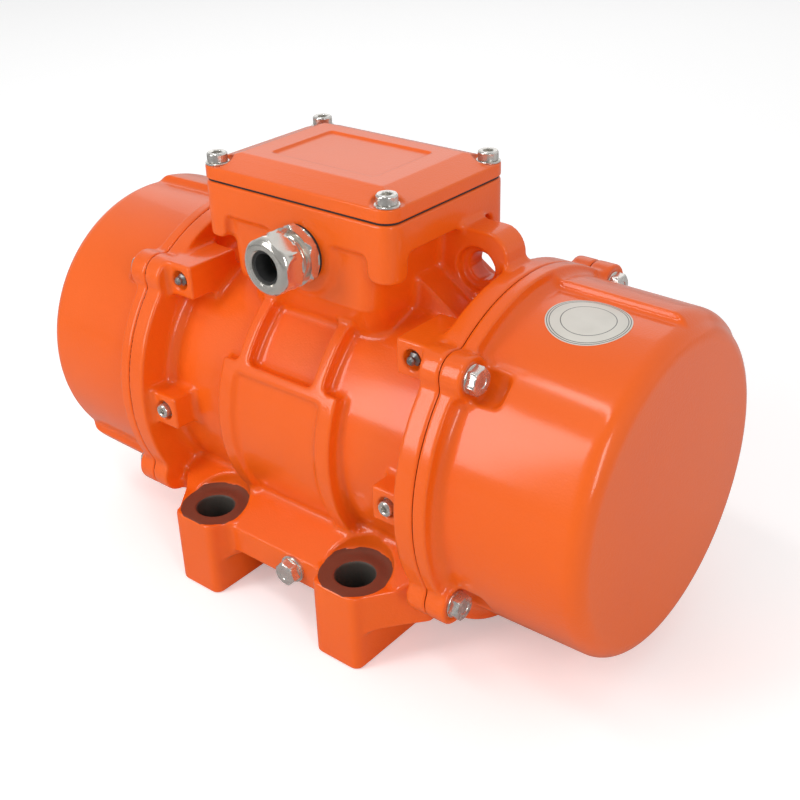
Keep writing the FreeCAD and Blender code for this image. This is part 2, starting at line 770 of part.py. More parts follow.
def lid_fasteners():
    """Lid screws and their washers."""
    up = V(0, 0, 1)
    screws, washers = [], []
    shank = washer_thickness + lid_edge_thickness + gasket_thickness + thread_depth - thread_end_gap
    for x, y in lid_screw_places():
        head = V(x, y, lid_seat_height + washer_thickness)
        screws.append(socket_screw(lid_screw, head, up, shank))
        washers.append(washer(lid_screw, head, up))
    return screws, washers


def cover_fasteners():
    """Hexagon bolts of both end covers, on washers sunk flush with their seats."""
    out = V(1, 0, 0)
    shank = cover_seat_offset + flange_thickness - thread_end_gap
    screws, washers = [], []
    for y, z in bolt_places():
        head = V(seam_x + cover_seat_offset, y, z)
        screws.append(hex_screw(cover_screw, head, out, shank))
        washers.append(washer(cover_screw, head, out))
    return screws + [mirror_x(s) for s in screws], washers + [mirror_x(w) for w in washers]


def cover_outline():
    """Outside of an end cover as a turned solid: flange, filleted root, tapered barrel, round edge."""
    x0, x1, r1 = seam_x, seam_x + cover_flange_thickness, flange_radius
    f, e = cover_flange_fillet, cover_edge_radius
    s, t = f * math.sqrt(0.5), e * math.sqrt(0.5)
    ra, rb = cover_radius, cover_end_radius
    edges = [
        Part.LineSegment(at(x0, 0), at(x0, r1)).toShape(),
        Part.LineSegment(at(x0, r1), at(x1, r1)).toShape(),
        Part.LineSegment(at(x1, r1), at(x1, ra + f)).toShape(),
        Part.Arc(at(x1, ra + f), at(x1 + f - s, ra + f - s), at(x1 + f, ra)).toShape(),
        Part.LineSegment(at(x1 + f, ra), at(cover_end - e, rb)).toShape(),
        Part.Arc(at(cover_end - e, rb), at(cover_end - e + t, rb - e + t), at(cover_end, rb - e)).toShape(),
        Part.LineSegment(at(cover_end, rb - e), at(cover_end, 0)).toShape(),
        Part.LineSegment(at(cover_end, 0), at(x0, 0)).toShape(),
    ]
    return revolve_x(edges)


def cover_pad(start, span):
    """Raised pad along the cover barrel with a round outer end, as a wedge down to the axis."""
    e, t = cover_edge_radius, cover_edge_radius * math.sqrt(0.5)
    x0, ra, rb = seam_x + 1, cover_radius + cover_pad_rise, cover_end_radius + cover_pad_rise
    end = cover_end - cover_pad_rise
    edges = [
        Part.LineSegment(at(x0, 0), at(x0, ra)).toShape(),
        Part.LineSegment(at(x0, ra), at(end - e, rb)).toShape(),
        Part.Arc(at(end - e, rb), at(end - e + t, rb - e + t), at(end, rb - e)).toShape(),
        Part.LineSegment(at(end, rb - e), at(end, 0)).toShape(),
        Part.LineSegment(at(end, 0), at(x0, 0)).toShape(),
    ]
    wedge = Part.Face(Part.Wire(edges)).revolve(V(0, 0, shaft_height), V(1, 0, 0), span)
    wedge.rotate(V(0, 0, shaft_height), V(1, 0, 0), 90.0 - start - span)
    return wedge


def near_cover(low_pad_start):
    """End cover: thin shell with bolt ears, scoops round the bolt heads and raised pads."""
    seat = seam_x + cover_seat_offset
    ears = [rod_x(ear_radius, seam_x, seat, y, z) for y, z in bolt_places()]
    pads = [cover_pad(cover_pad_start, cover_pad_span), cover_pad(low_pad_start, cover_low_pad_span)]
    body = cover_outline().fuse(ears + pads)
    scoop_end = seat + cover_scoop_length
    scoops = []
    pockets = []
    for y, z in bolt_places():
        scoops.append(rod_x(cover_scoop_radius, seat, scoop_end, y, z))
        scoops.append(rod_x(cover_bolt_sink_radius, seat - washer_thickness, seat, y, z))
        pocket = rod_x(cover_scoop_radius + cover_wall, seam_x, scoop_end + cover_wall, y, z)
        pockets.append(pocket.common(rod_x(cover_radius, seam_x, cover_end)))
    wall = cover_wall
    ra, rb, e = cover_radius - wall, cover_end_radius - wall, max(cover_edge_radius - wall, 1.0)
    t = e * math.sqrt(0.5)
    end = cover_end - wall
    edges = [
        Part.LineSegment(at(seam_x - 1, 0), at(seam_x - 1, ra)).toShape(),
        Part.LineSegment(at(seam_x - 1, ra), at(end - e, rb)).toShape(),
        Part.Arc(at(end - e, rb), at(end - e + t, rb - e + t), at(end, rb - e)).toShape(),
        Part.LineSegment(at(end, rb - e), at(end, 0)).toShape(),
        Part.LineSegment(at(end, 0), at(seam_x - 1, 0)).toShape(),
    ]
    hollow = revolve_x(edges).cut(pockets)
    groove = ring_x(ra + seal_section + 1, ra + 1, seam_x - 1, seam_x + seal_section * seal_squeeze)
    hole_radius = (cover_screw[0] + screw_hole_gap) / 2
    holes = [rod_x(hole_radius, seam_x - 1, seat + 1, y, z) for y, z in bolt_places()]
    room = ring_x(bearing_plate_radius + plate_room, 1, seam_x - 1, plate_outer_x + plate_room)
    return body.cut([hollow, room, groove] + scoops + holes)


def cover_seal():
    """Round-section seal in the groove of an end cover."""
    radius = seal_section * seal_squeeze / 2
    middle = cover_radius - cover_wall + 1 + seal_section / 2
    return Part.makeTorus(middle, radius, V(seam_x + radius, 0, shaft_height), V(1, 0, 0))


def bearing_flange():
    """Flange that centres in the housing bore and carries the bearing in its hub."""
    spigot_in = seam_x - spigot_length
    spigot_r = bore_radius - fit_gap
    hub_in = bearing_x - bearing_lip_length
    web_x = plate_outer_x - bearing_plate_thickness - hub_web_length
    profile = [(hub_in, bearing_lip_radius), (hub_in, bearing_hub_radius), (web_x, bearing_hub_radius),
               (web_x, spigot_r - spigot_width), (spigot_in, spigot_r - spigot_width), (spigot_in, spigot_r),
               (seam_x, spigot_r), (seam_x, bearing_plate_radius), (plate_outer_x, bearing_plate_radius),
               (plate_outer_x, bearing_outer_radius + fit_gap), (bearing_x, bearing_outer_radius + fit_gap),
               (bearing_x, bearing_lip_radius)]
    body = revolve_x(chain(profile))
    holes = [rod_x((plate_screw[0] + screw_hole_gap) / 2, seam_x - 1, plate_outer_x + 1, y, z)
             for y, z in ring_places(plate_screw_circle, plate_screw_count)]
    holes += [rod_x(cap_screw[0] / 2, plate_outer_x - thread_depth, plate_outer_x + 1, y, z)
              for y, z in ring_places(cap_screw_circle, cap_screw_count)]
    return body.cut(holes)


def bearing_cap():
    """Cap that holds the bearing in its flange and keeps the grease in."""
    spigot_r = bearing_outer_radius - fit_gap
    shaft_r = shaft_journal_radius + cap_shaft_clearance
    spigot_in, spigot_x = spigot_r - cap_spigot_width, bearing_x + bearing_width
    profile = [(plate_outer_x, shaft_r), (cap_outer_x, shaft_r), (cap_outer_x, cap_radius),
               (plate_outer_x, cap_radius), (plate_outer_x, spigot_r), (spigot_x, spigot_r),
               (spigot_x, spigot_in), (plate_outer_x, spigot_in)]
    body = revolve_x(chain(profile))
    holes = [rod_x((cap_screw[0] + screw_hole_gap) / 2, plate_outer_x - 1, cap_outer_x + 1, y, z)
             for y, z in ring_places(cap_screw_circle, cap_screw_count)]
    return body.cut(holes)


def inner_fasteners():
    """Screws of the bearing flanges and of the bearing caps."""
    out = V(1, 0, 0)
    plate_shank = bearing_plate_thickness + thread_depth - thread_end_gap
    plate = [socket_screw(plate_screw, V(plate_outer_x, y, z), out, plate_shank)
             for y, z in ring_places(plate_screw_circle, plate_screw_count)]
    cap = [socket_screw(cap_screw, V(cap_outer_x, y, z), out, cap_thickness + thread_depth - thread_end_gap)
           for y, z in ring_places(cap_screw_circle, cap_screw_count)]
    return plate + [mirror_x(s) for s in plate], cap + [mirror_x(s) for s in cap]


def bearing_outer_ring():
    """Outer ring with a raceway between two ribs."""
    x0, x1 = bearing_x, bearing_x + bearing_width
    profile = [(x0, outer_rib_radius), (x0, bearing_outer_radius), (x1, bearing_outer_radius),
               (x1, outer_rib_radius),
               (x1 - rib_length, outer_rib_radius), (x1 - rib_length, outer_race_radius),
               (x0 + rib_length, outer_race_radius), (x0 + rib_length, outer_rib_radius)]
    return revolve_x(chain(profile))


def bearing_inner_ring():
    """Plain inner ring seated on the journal."""
    return ring_x(inner_race_radius, shaft_journal_radius + fit_gap, bearing_x, bearing_x + bearing_width)


def roller_places():
    """Centres of the rollers."""
    return ring_places(roller_circle, roller_count, 0.0)


def rollers():
    """Cylindrical rollers between the raceways."""
    x0 = bearing_x + rib_length + roller_end_clearance
    x1 = bearing_x + bearing_width - rib_length - roller_end_clearance
    return [rod_x(roller_radius, x0, x1, y, z) for y, z in roller_places()]


def roller_cage():
    """Cage: a ring with one window for each roller."""
    x0, x1 = bearing_x + rib_length, bearing_x + bearing_width - rib_length
    body = ring_x(cage_outer_radius, cage_inner_radius, x0 - cage_side_length, x1 + cage_side_length)
    windows = [rod_x(roller_radius + roller_clearance, x0, x1, y, z) for y, z in roller_places()]
    return body.cut(windows)


def slot_bars(width, depth, inner, half_length):
    """Radial bars on the slot pitch of the stator."""
    bars = []
    for k in range(slot_count):
        bar = box(-half_length, half_length, -width / 2, width / 2, shaft_height + inner,
                  shaft_height + inner + depth)
        bar.rotate(V(0, 0, shaft_height), V(1, 0, 0), 360.0 * k / slot_count)
        bars.append(bar)
    return bars


def stator_core():
    """Laminated stator core with open slots for the winding."""
    body = ring_x(bore_radius - fit_gap, stator_inner_radius, -stator_half_length, stator_half_length)
    return body.cut(slot_bars(slot_width, slot_depth, slot_inner_radius, stator_half_length + 1))


def stator_winding():
    """Winding: bars in the slots and a rounded end turn on each side of the core."""
    gap = fit_gap * 2
    x0, x1 = stator_half_length + 1, stator_half_length + winding_overhang
    r0, r1 = slot_inner_radius + 1, winding_outer_radius
    c = winding_overhang / 5
    profile = [(x0, r0), (x1 - c, r0), (x1, r0 + c), (x1, r1 - c), (x1 - c, r1), (x0, r1)]
    end_turn = revolve_x(chain(profile))
    bars = slot_bars(slot_width - gap, slot_depth - gap, slot_inner_radius + gap / 2, stator_half_length + 2)
    return end_turn.fuse([mirror_x(end_turn)] + bars)


def cage_bars(radius, half_length):
    """Bars of the squirrel cage."""
    return [rod_x(radius, -half_length, half_length, y, z)
            for y, z in ring_places(cage_bar_circle, cage_bar_count, 0.0)]


def rotor_core():
    """Laminated rotor core on the shaft."""
    body = ring_x(rotor_radius, rotor_seat_radius + fit_gap, -stator_half_length, stator_half_length)
    return body.cut(cage_bars(cage_bar_radius + fit_gap, stator_half_length + 1))


def rotor_cage():
    """Cast cage: bars through the core and a short-circuit ring at each end."""
    outer = cage_bar_circle + cage_bar_radius + cage_ring_edge
    ring = ring_x(outer, outer - cage_ring_width, stator_half_length, stator_half_length + cage_ring_length)
    return ring.fuse([mirror_x(ring)] + cage_bars(cage_bar_radius, stator_half_length + 1))


def shaft():
    """Stepped shaft with circlip grooves and keyways for the fixed weights."""
    c = shaft_chamfer
    half = [(stator_half_length, rotor_seat_radius), (shaft_shoulder_x, rotor_seat_radius),
            (shaft_shoulder_x, shaft_shoulder_radius), (bearing_x, shaft_shoulder_radius),
            (bearing_x, shaft_journal_radius), (cap_outer_x, shaft_journal_radius),
            (cap_outer_x, shaft_end_radius), (circlip_x, shaft_end_radius),
            (circlip_x, shaft_end_radius - circlip_depth),
            (circlip_x + circlip_thickness, shaft_end_radius - circlip_depth),
            (circlip_x + circlip_thickness, shaft_end_radius), (shaft_half_length - c, shaft_end_radius),
            (shaft_half_length, shaft_end_radius - c)]
    far = [(-x, r) for x, r in reversed(half)]
    body = revolve_x(chain([(-shaft_half_length, 0)] + far + half + [(shaft_half_length, 0)]))
    return body.cut([keyway(0.0), mirror_x(keyway(0.0))])


def keyway(gap):
    """Room for the key of the near fixed weight; the same box with no gap is the key."""
    low = shaft_height + shaft_end_radius - key_sink
    return box(fixed_weight_x, fixed_weight_x + weight_thickness, -key_width / 2 + gap, key_width / 2 - gap,
               low + gap, low + key_height)


def weight_blank(x0):
    """Eccentric weight: hub and a heavy lower sector, before its bore."""
    half = weight_span / 2
    sector = sector_x(weight_radius, shaft_end_radius, x0, x0 + weight_thickness, 270 - half, 270 + half)
    return rod_x(weight_hub_radius, x0, x0 + weight_thickness).fuse(sector)


def fixed_weight():
    """Weight that is keyed to the shaft."""
    x0 = fixed_weight_x
    bore = rod_x(shaft_end_radius + fit_gap, x0 - 1, x0 + weight_thickness + 1)
    low = shaft_height + shaft_end_radius - key_sink
    slot = box(x0 - 1, x0 + weight_thickness + 1, -key_width / 2, key_width / 2, low,
               low + key_height + fit_gap)
    return weight_blank(x0).cut([bore, slot])


def adjustable_weight():
    """Weight that turns on the shaft and is clamped by its split hub."""
    x0, x1 = adjustable_weight_x, adjustable_weight_x + weight_thickness
    top = shaft_height + clamp_ear_height
    ear = box(x0, x1, -clamp_ear_width / 2, clamp_ear_width / 2, shaft_height, top)
    bore = rod_x(shaft_end_radius + fit_gap, x0 - 1, x1 + 1)
    slit = box(x0 - 1, x1 + 1, -clamp_slit / 2, clamp_slit / 2, shaft_height, top + 1)
    middle = (x0 + x1) / 2
    hole = rod_y((clamp_screw[0] + screw_hole_gap) / 2, middle, shaft_height + clamp_screw_height,
                 -clamp_ear_width, clamp_ear_width)
    return weight_blank(x0).fuse(ear).cut([bore, slit, hole])


def clamp_parts():
    """Clamp screw of the near adjustable weight with its nut."""
    middle = adjustable_weight_x + weight_thickness / 2
    z = shaft_height + clamp_screw_height
    out = V(0, -1, 0)
    half = clamp_ear_width / 2
    screw = socket_screw(clamp_screw, V(middle, -half, z), out, clamp_ear_width + clamp_screw[0])
    nut = hexagon_prism(clamp_screw[1], clamp_screw[2] * clamp_nut_share, V(middle, half, z), V(0, 1, 0))
    hole = rod_y(clamp_screw[0] / 2 + fit_gap, middle, z, half - 1, half + clamp_screw[0] + 2)
    return [screw, nut.cut(hole)]


def spacers():
    """Spacer rings that keep the weights in place along the shaft."""
    bore = shaft_end_radius + fit_gap
    first = ring_x(spacer_radius, bore, cap_outer_x + seat_gap, fixed_weight_x)
    middle_x = fixed_weight_x + weight_thickness
    second = ring_x(spacer_radius, bore, middle_x, middle_x + middle_spacer_length - seat_gap)
    return [first, second]


def scale_disc():
    """Setting disc against the adjustable weight, notched at its zero mark."""
    disc = ring_x(disc_radius, shaft_end_radius + fit_gap, disc_x, disc_x + disc_thickness)
    top = shaft_height + disc_radius
    notch = box(disc_x - 1, disc_x + disc_thickness + 1, -disc_notch / 2, disc_notch / 2,
                top - disc_notch, top + 1)
    return disc.cut(notch)


def circlip():
    """Open ring in the groove at the end of the shaft."""
    inner = shaft_end_radius - circlip_depth + fit_gap
    ring = ring_x(inner + circlip_rise, inner, circlip_x + fit_gap, circlip_x + circlip_thickness - fit_gap)
    gap = box(circlip_x - 1, circlip_x + circlip_thickness + 1, -circlip_opening / 2, circlip_opening / 2,
              shaft_height, shaft_height + inner + circlip_rise + 1)
    return ring.cut(gap)


def gland_parts():
    """Cable gland: sealing washer, threaded body, cap nut and rubber seal."""
    out = V(0, -1, 0)
    y0 = gland_seat_y
    y1 = y0 - gland_washer_thickness
    y2 = y1 - gland_base_length
    y3 = y2 - gland_neck_length
    y4 = y3 - gland_nut_length
    thread = gland_thread_diameter / 2
    bore = gland_bore_diameter / 2
    inner_y = gland_wall_y + gland_inner_length
    ring = rod_y(thread + gland_washer_width, gland_x, gland_height, y1, y0)
    ring = ring.cut(rod_y(thread, gland_x, gland_height, y1 - 1, y0 + 1))
    body = rod_y(thread - fit_gap, gland_x, gland_height, y3 - gland_nut_overlap, inner_y)
    body = body.fuse(hexagon_prism(gland_flats, gland_base_length, V(gland_x, y1, gland_height), out))
    seal_r = bore + gland_seal_wall
    body = body.cut(rod_y(bore, gland_x, gland_height, y4 - 1, inner_y + 1))
    body = body.cut(rod_y(seal_r, gland_x, gland_height, y4 - 1, y3))
    nut = hexagon_prism(gland_flats, gland_nut_length, V(gland_x, y3 + seat_gap, gland_height), out)
    cone = Part.makeCone(gland_flats * 0.75, gland_flats * 0.5 - 1.5, gland_nut_length,
                         V(gland_x, y3 + seat_gap, gland_height), out)
    nut = nut.common(cone)
    nut = nut.cut(rod_y(thread, gland_x, gland_height, y4 + seat_gap + gland_lip, y3 + 1))
    nut = nut.cut(rod_y(bore + 0.5, gland_x, gland_height, y4 - 1, y3))
    seal = rod_y(seal_r - fit_gap, gland_x, gland_height, y4 + seat_gap + gland_lip, y3)
    seal = seal.cut(rod_y(bore - gland_seal_squeeze, gland_x, gland_height, y4 - 1, y3 + 1))
    return ring, body, nut, seal


def service_parts():
    """Grease nipples, port screws with washers, earth screw with washers."""
    out = V(0, -1, 0)
    low_z, high_z = shaft_height - port_screw_drop, shaft_height + flange_radius - nipple_drop
    head = V(port_boss_x, port_screw_inset - flange_radius + port_recess - washer_thickness, low_z)
    shank = washer_thickness + thread_depth - port_recess - thread_end_gap
    screw = socket_screw(port_screw, head, out, shank)
    ring = washer(port_screw, head, out, small_washer_rim)
    nipple_y = nipple_inset - flange_radius
    shoulder = nipple_y + port_recess - nipple_sink
    nipple_end = nipple_y + thread_depth - thread_end_gap
    nipple = rod_y(nipple_body_radius - fit_gap, port_boss_x, high_z, shoulder, nipple_end)
    stem = Part.makeCone(nipple_body_radius - fit_gap, nipple_neck_radius, nipple_length / 2,
                         V(port_boss_x, shoulder, high_z), out)
    ball = Part.makeSphere(nipple_head_radius, V(port_boss_x, shoulder - nipple_length / 2, high_z))
    nipple = nipple.fuse([stem, ball])
    rings = []
    earth_y, earth_height = -web_front_y, web_bottom_height + earth_rise
    for rim in earth_washer_rims:
        earth_y -= washer_thickness
        rings.append(washer(earth_screw, V(earth_x, earth_y, earth_height), out, rim))
    shank = len(earth_washer_rims) * washer_thickness + thread_depth - thread_end_gap
    earth = hex_screw(earth_screw, V(earth_x, earth_y, earth_height), out, shank)
    return nipple, screw, ring, earth, rings


def terminal_parts():
    """Terminal board on its feet, with studs, nuts and bridge links."""
    z0 = box_floor_height + board_lift
    z1 = z0 + board_thickness
    half_x, half_y = box_half_x - board_inset_x, box_half_y - board_inset_y
    foot_half_x, foot_half_y = half_x - board_foot_inset, half_y - board_foot_inset
    board = box(-half_x, half_x, box_centre_y - half_y, box_centre_y + half_y, z0, z1)
    feet = [rod_z(board_foot_radius, sx * foot_half_x, box_centre_y + sy * foot_half_y, box_floor_height, z0)
            for sx in (-1, 1) for sy in (-1, 1)]
    board = board.fuse(feet)
    studs, nuts, links, stud_holes = [], [], [], []
    hole = stud_radius + fit_gap
    for column in (-1, 0, 1):
        x = column * stud_pitch_x
        places = [box_centre_y + row * stud_pitch_y / 2 for row in (-1, 1)]
        half = link_width / 2
        link = box(x - half, x + half, places[0] - half, places[1] + half, z1, z1 + link_thickness)
        for y in places:
            studs.append(rod_z(stud_radius, x, y, z1 - stud_sink, z1 + stud_height))
            stud_holes.append(rod_z(hole, x, y, z1 - stud_sink - fit_gap, z1 + 1))
            nut = hexagon_prism(nut_flats, nut_height, V(x, y, z1 + link_thickness), V(0, 0, 1))
            nuts.append(nut.cut(rod_z(hole, x, y, z1, z1 + stud_height)))
            link = link.cut(rod_z(hole, x, y, z1 - 1, z1 + link_thickness + 1))
        links.append(link)
    return board.cut(stud_holes), studs, nuts, links


save("housing", housing())
save("terminal_lid", terminal_lid())
save("lid_gasket", lid_gasket())
lid_screws, lid_washers = lid_fasteners()
save("lid_screws", lid_screws)
save("lid_washers", lid_washers)

washer_ring, gland_body, gland_nut, gland_seal = gland_parts()
save("gland_washer", washer_ring)
save("gland_body", gland_body)
save("gland_nut", gland_nut)
save("gland_seal", gland_seal)

terminal_board, terminal_studs, terminal_nuts, terminal_links = terminal_parts()
save("terminal_board", terminal_board)
save("terminal_studs", terminal_studs)
save("terminal_nuts", terminal_nuts)
save("terminal_links", terminal_links)

save("near_cover", near_cover(540.0 - cover_low_pad_start - cover_low_pad_span))
save("far_cover", mirror_x(near_cover(cover_low_pad_start)))
save("cover_seals", both_ends(cover_seal()))
cover_screws, cover_washers = cover_fasteners()
save("cover_screws", cover_screws)
save("cover_washers", cover_washers)

save("near_bearing_flange", bearing_flange())
save("far_bearing_flange", mirror_x(bearing_flange()))
save("bearing_caps", both_ends(bearing_cap()))
flange_screws, cap_screws = inner_fasteners()
save("flange_screws", flange_screws)
save("cap_screws", cap_screws)
save("bearing_outer_rings", both_ends(bearing_outer_ring()))
save("bearing_inner_rings", both_ends(bearing_inner_ring()))
save("near_rollers", rollers())
save("far_rollers", [mirror_x(r) for r in rollers()])
save("near_roller_cage", roller_cage())
save("far_roller_cage", mirror_x(roller_cage()))

save("stator_core", stator_core())
save("stator_winding", stator_winding())
save("rotor_core", rotor_core())
save("rotor_cage", rotor_cage())
save("shaft", shaft())

save("near_fixed_weight", fixed_weight())
save("far_fixed_weight", mirror_x(fixed_weight()))
save("weight_keys", both_ends(keyway(fit_gap)))
save("near_adjustable_weight", adjustable_weight())
save("far_adjustable_weight", mirror_x(adjustable_weight()))
save("near_clamp_screw", clamp_parts())
save("far_clamp_screw", [mirror_x(p) for p in clamp_parts()])
save("shaft_spacers", spacers() + [mirror_x(s) for s in spacers()])
save("scale_discs", both_ends(scale_disc()))
save("circlips", both_ends(circlip()))

nipple, port_screw_solid, port_ring, earth_bolt, earth_rings = service_parts()
save("grease_nipples", both_ends(nipple))
save("port_screws", both_ends(port_screw_solid))
save("port_washers", both_ends(port_ring))
save("earth_screw", earth_bolt)
save("earth_washers", earth_rings)
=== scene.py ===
"""Visual model of a foot-mounted vibration motor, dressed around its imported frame.

The cast pieces get a skin with the soft corners of a casting, the fasteners and the gland get
their small forms, and every piece gets its finish. Metres, +Z up, +X along the shaft.
"""

import json
import logging
import math
from dataclasses import dataclass, field
from enum import Enum
from typing import Callable, Optional, Protocol, Sequence

import bpy
import numpy as np
import openvdb as vdb
from mathutils import Matrix, Vector

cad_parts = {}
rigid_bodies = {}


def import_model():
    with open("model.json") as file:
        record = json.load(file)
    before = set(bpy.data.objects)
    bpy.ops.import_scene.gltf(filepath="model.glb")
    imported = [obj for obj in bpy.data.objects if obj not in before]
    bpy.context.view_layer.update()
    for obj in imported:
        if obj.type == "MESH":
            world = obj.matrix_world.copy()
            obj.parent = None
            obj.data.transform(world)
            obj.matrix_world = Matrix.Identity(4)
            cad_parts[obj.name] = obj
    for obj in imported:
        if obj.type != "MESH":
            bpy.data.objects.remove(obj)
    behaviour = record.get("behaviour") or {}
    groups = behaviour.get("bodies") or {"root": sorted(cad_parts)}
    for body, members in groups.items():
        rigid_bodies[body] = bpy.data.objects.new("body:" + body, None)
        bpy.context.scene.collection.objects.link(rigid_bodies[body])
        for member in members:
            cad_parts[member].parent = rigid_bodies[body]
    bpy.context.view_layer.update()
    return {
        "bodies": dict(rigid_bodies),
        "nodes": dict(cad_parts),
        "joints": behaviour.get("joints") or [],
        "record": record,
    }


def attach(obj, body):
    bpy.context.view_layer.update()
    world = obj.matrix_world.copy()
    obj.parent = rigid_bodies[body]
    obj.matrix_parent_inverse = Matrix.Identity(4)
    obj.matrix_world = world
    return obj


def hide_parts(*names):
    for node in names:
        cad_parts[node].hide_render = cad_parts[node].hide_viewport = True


LOG = logging.getLogger("vibration_motor")
MM = 0.001
SHAFT_HEIGHT = 107.0
Colour = tuple[float, float, float]
Point = tuple[float, float, float]
Form = tuple[np.ndarray, list[list[int]]]
Tree = bpy.types.NodeTree
Socket = bpy.types.NodeSocket
Piece = bpy.types.Object
Material = bpy.types.Material


class Axis(Enum):
    """Axes that a round feature can lie along."""

    X = 0
    Y = 1
    Z = 2


class Drive(Enum):
    """How a screw head is turned."""

    SOCKET = "socket"
    HEXAGON = "hexagon"


# Shader helpers and node groups


def link(tree: Tree, source: Socket, target: Socket) -> None:
    """Join two sockets of a tree."""
    tree.links.new(source, target)


def new_group(name: str, inputs: dict[str, float], outputs: Sequence[str]) -> Tree:
    """Make a shader node group with a Vector input, float inputs and float outputs.

    Args:
        name: name of the group.
        inputs: float inputs with their default values.
        outputs: names of the float outputs.

    Returns:
        The group with its input and output nodes placed.
    """
    group = bpy.data.node_groups.new(name, "ShaderNodeTree")
    group.interface.new_socket("Vector", in_out="INPUT", socket_type="NodeSocketVector")
    for label, value in inputs.items():
        socket = group.interface.new_socket(label, in_out="INPUT", socket_type="NodeSocketFloat")
        socket.default_value = value
    for label in outputs:
        group.interface.new_socket(label, in_out="OUTPUT", socket_type="NodeSocketFloat")
    group.nodes.new("NodeGroupInput").name = "in"
    group.nodes.new("NodeGroupOutput").name = "out"
    return group


def math_node(tree: Tree, operation: str, *values: object) -> Socket:
    """Add a Math node and return its output; values are numbers or sockets.

    Args:
        tree: node tree that gets the nodes.
        operation: name of the operation.
        values: its inputs, numbers or sockets.

    Returns:
        The node's output.
    """
    node = tree.nodes.new("ShaderNodeMath")
    node.operation = operation
    for place, value in enumerate(values):
        if isinstance(value, Socket):
            link(tree, value, node.inputs[place])
        else:
            node.inputs[place].default_value = float(value)
    return node.outputs[0]


def noise_node(tree: Tree, place: Socket, detail: float = 2.0, scale: object = 5.0) -> Socket:
    """Add a noise on some coordinates and return its value; the scale is a number or a socket.

    Args:
        tree: node tree that gets the nodes.
        place: coordinates.
        detail: octaves of the noise.
        scale: its scale, a number or a socket.

    Returns:
        The noise's value.
    """
    node = tree.nodes.new("ShaderNodeTexNoise")
    node.inputs["Detail"].default_value = detail
    link(tree, place, node.inputs["Vector"])
    if isinstance(scale, Socket):
        link(tree, scale, node.inputs["Scale"])
    else:
        node.inputs["Scale"].default_value = scale
    return node.outputs["Fac"]


def parts_of(tree: Tree, place: Socket) -> bpy.types.NodeOutputs:
    """Split a vector and return its parts X, Y and Z.

    Args:
        tree: node tree that gets the nodes.
        place: the vector.

    Returns:
        Outputs X, Y and Z.
    """
    node = tree.nodes.new("ShaderNodeSeparateXYZ")
    link(tree, place, node.inputs[0])
    return node.outputs


def grain_group() -> Tree:
    """Two scales of noise: a slow mottling mask and a fine height, as on paint or a casting.

    Returns:
        The group, made once.
    """
    found = bpy.data.node_groups.get("surface_grain")
    if found:
        return found
    group = new_group("surface_grain", {"Mottle Scale": 20.0, "Grain Scale": 600.0, "Slow Share": 0.5},
                      ["Mottle", "Height"])
    enter, leave = group.nodes["in"].outputs, group.nodes["out"].inputs
    slow = noise_node(group, enter["Vector"], 3.0, enter["Mottle Scale"])
    fine = noise_node(group, enter["Vector"], 2.0, enter["Grain Scale"])
    lump = math_node(group, "MULTIPLY", slow, enter["Slow Share"])
    link(group, slow, leave["Mottle"])
    link(group, math_node(group, "ADD", lump, fine), leave["Height"])
    return group


def turning_group() -> Tree:
    """Fine rings about a line along X through the piece's own origin, as a lathe tool leaves them.

    Returns:
        The group, made once.
    """
    found = bpy.data.node_groups.get("turning_marks")
    if found:
        return found
    group = new_group("turning_marks", {"Pitch": 4000.0, "Wobble": 0.4}, ["Rings", "Shade"])
    enter, leave = group.nodes["in"].outputs, group.nodes["out"].inputs
    along = parts_of(group, enter["Vector"])["X"]
    patches_scale = 90.0
    patches = noise_node(group, enter["Vector"], scale=patches_scale)
    phase = math_node(group, "MULTIPLY", along, enter["Pitch"])
    shift = math_node(group, "MULTIPLY", patches, enter["Wobble"])
    wave = math_node(group, "SINE", math_node(group, "ADD", phase, shift))
    link(group, math_node(group, "MULTIPLY_ADD", wave, 0.5, 0.5), leave["Rings"])
    link(group, patches, leave["Shade"])
    return group


def foot_mask_group(spacing_x: float, spacing_y: float, spot_radius: float, hole_radius: float,
                    low: float, high: float) -> Tree:
    """Masks of the machined rings on the four feet and of the walls of their holes.

    Args:
        spacing_x: half of the hole spacing along the shaft, metres.
        spacing_y: half of the hole spacing across the shaft, metres.
        spot_radius: radius of the machined ring.
        hole_radius: radius below which the wall of the hole lies.
        low: lowest height of the ring.
        high: highest height of the ring and of the hole's wall.

    Returns:
        Group with outputs Ring and Hole.
    """
    group = new_group("foot_masks", {"Edge": 0.0004}, ["Ring", "Hole"])
    enter, leave = group.nodes["in"].outputs, group.nodes["out"].inputs
    place = parts_of(group, enter["Vector"])
    squares = []
    for label, half in (("X", spacing_x), ("Y", spacing_y)):
        away = math_node(group, "SUBTRACT", math_node(group, "ABSOLUTE", place[label]), half)
        squares.append(math_node(group, "POWER", math_node(group, "ABSOLUTE", away), 2.0))
    distance = math_node(group, "SQRT", math_node(group, "ADD", *squares))
    wobble_scale, wobble_reach = 160.0, 0.0016
    wobble = noise_node(group, enter["Vector"], scale=wobble_scale)
    ragged = math_node(group, "MULTIPLY_ADD", wobble, wobble_reach, distance)
    inside = math_node(group, "LESS_THAN", ragged, spot_radius)
    above = math_node(group, "GREATER_THAN", place["Z"], low)
    below = math_node(group, "LESS_THAN", place["Z"], high)
    ring = math_node(group, "MULTIPLY", inside, math_node(group, "MULTIPLY", above, below))
    edge = math_node(group, "ADD", enter["Edge"], hole_radius)
    hole = math_node(group, "MULTIPLY", math_node(group, "LESS_THAN", distance, edge), below)
    link(group, ring, leave["Ring"])
    link(group, hole, leave["Hole"])
    return group


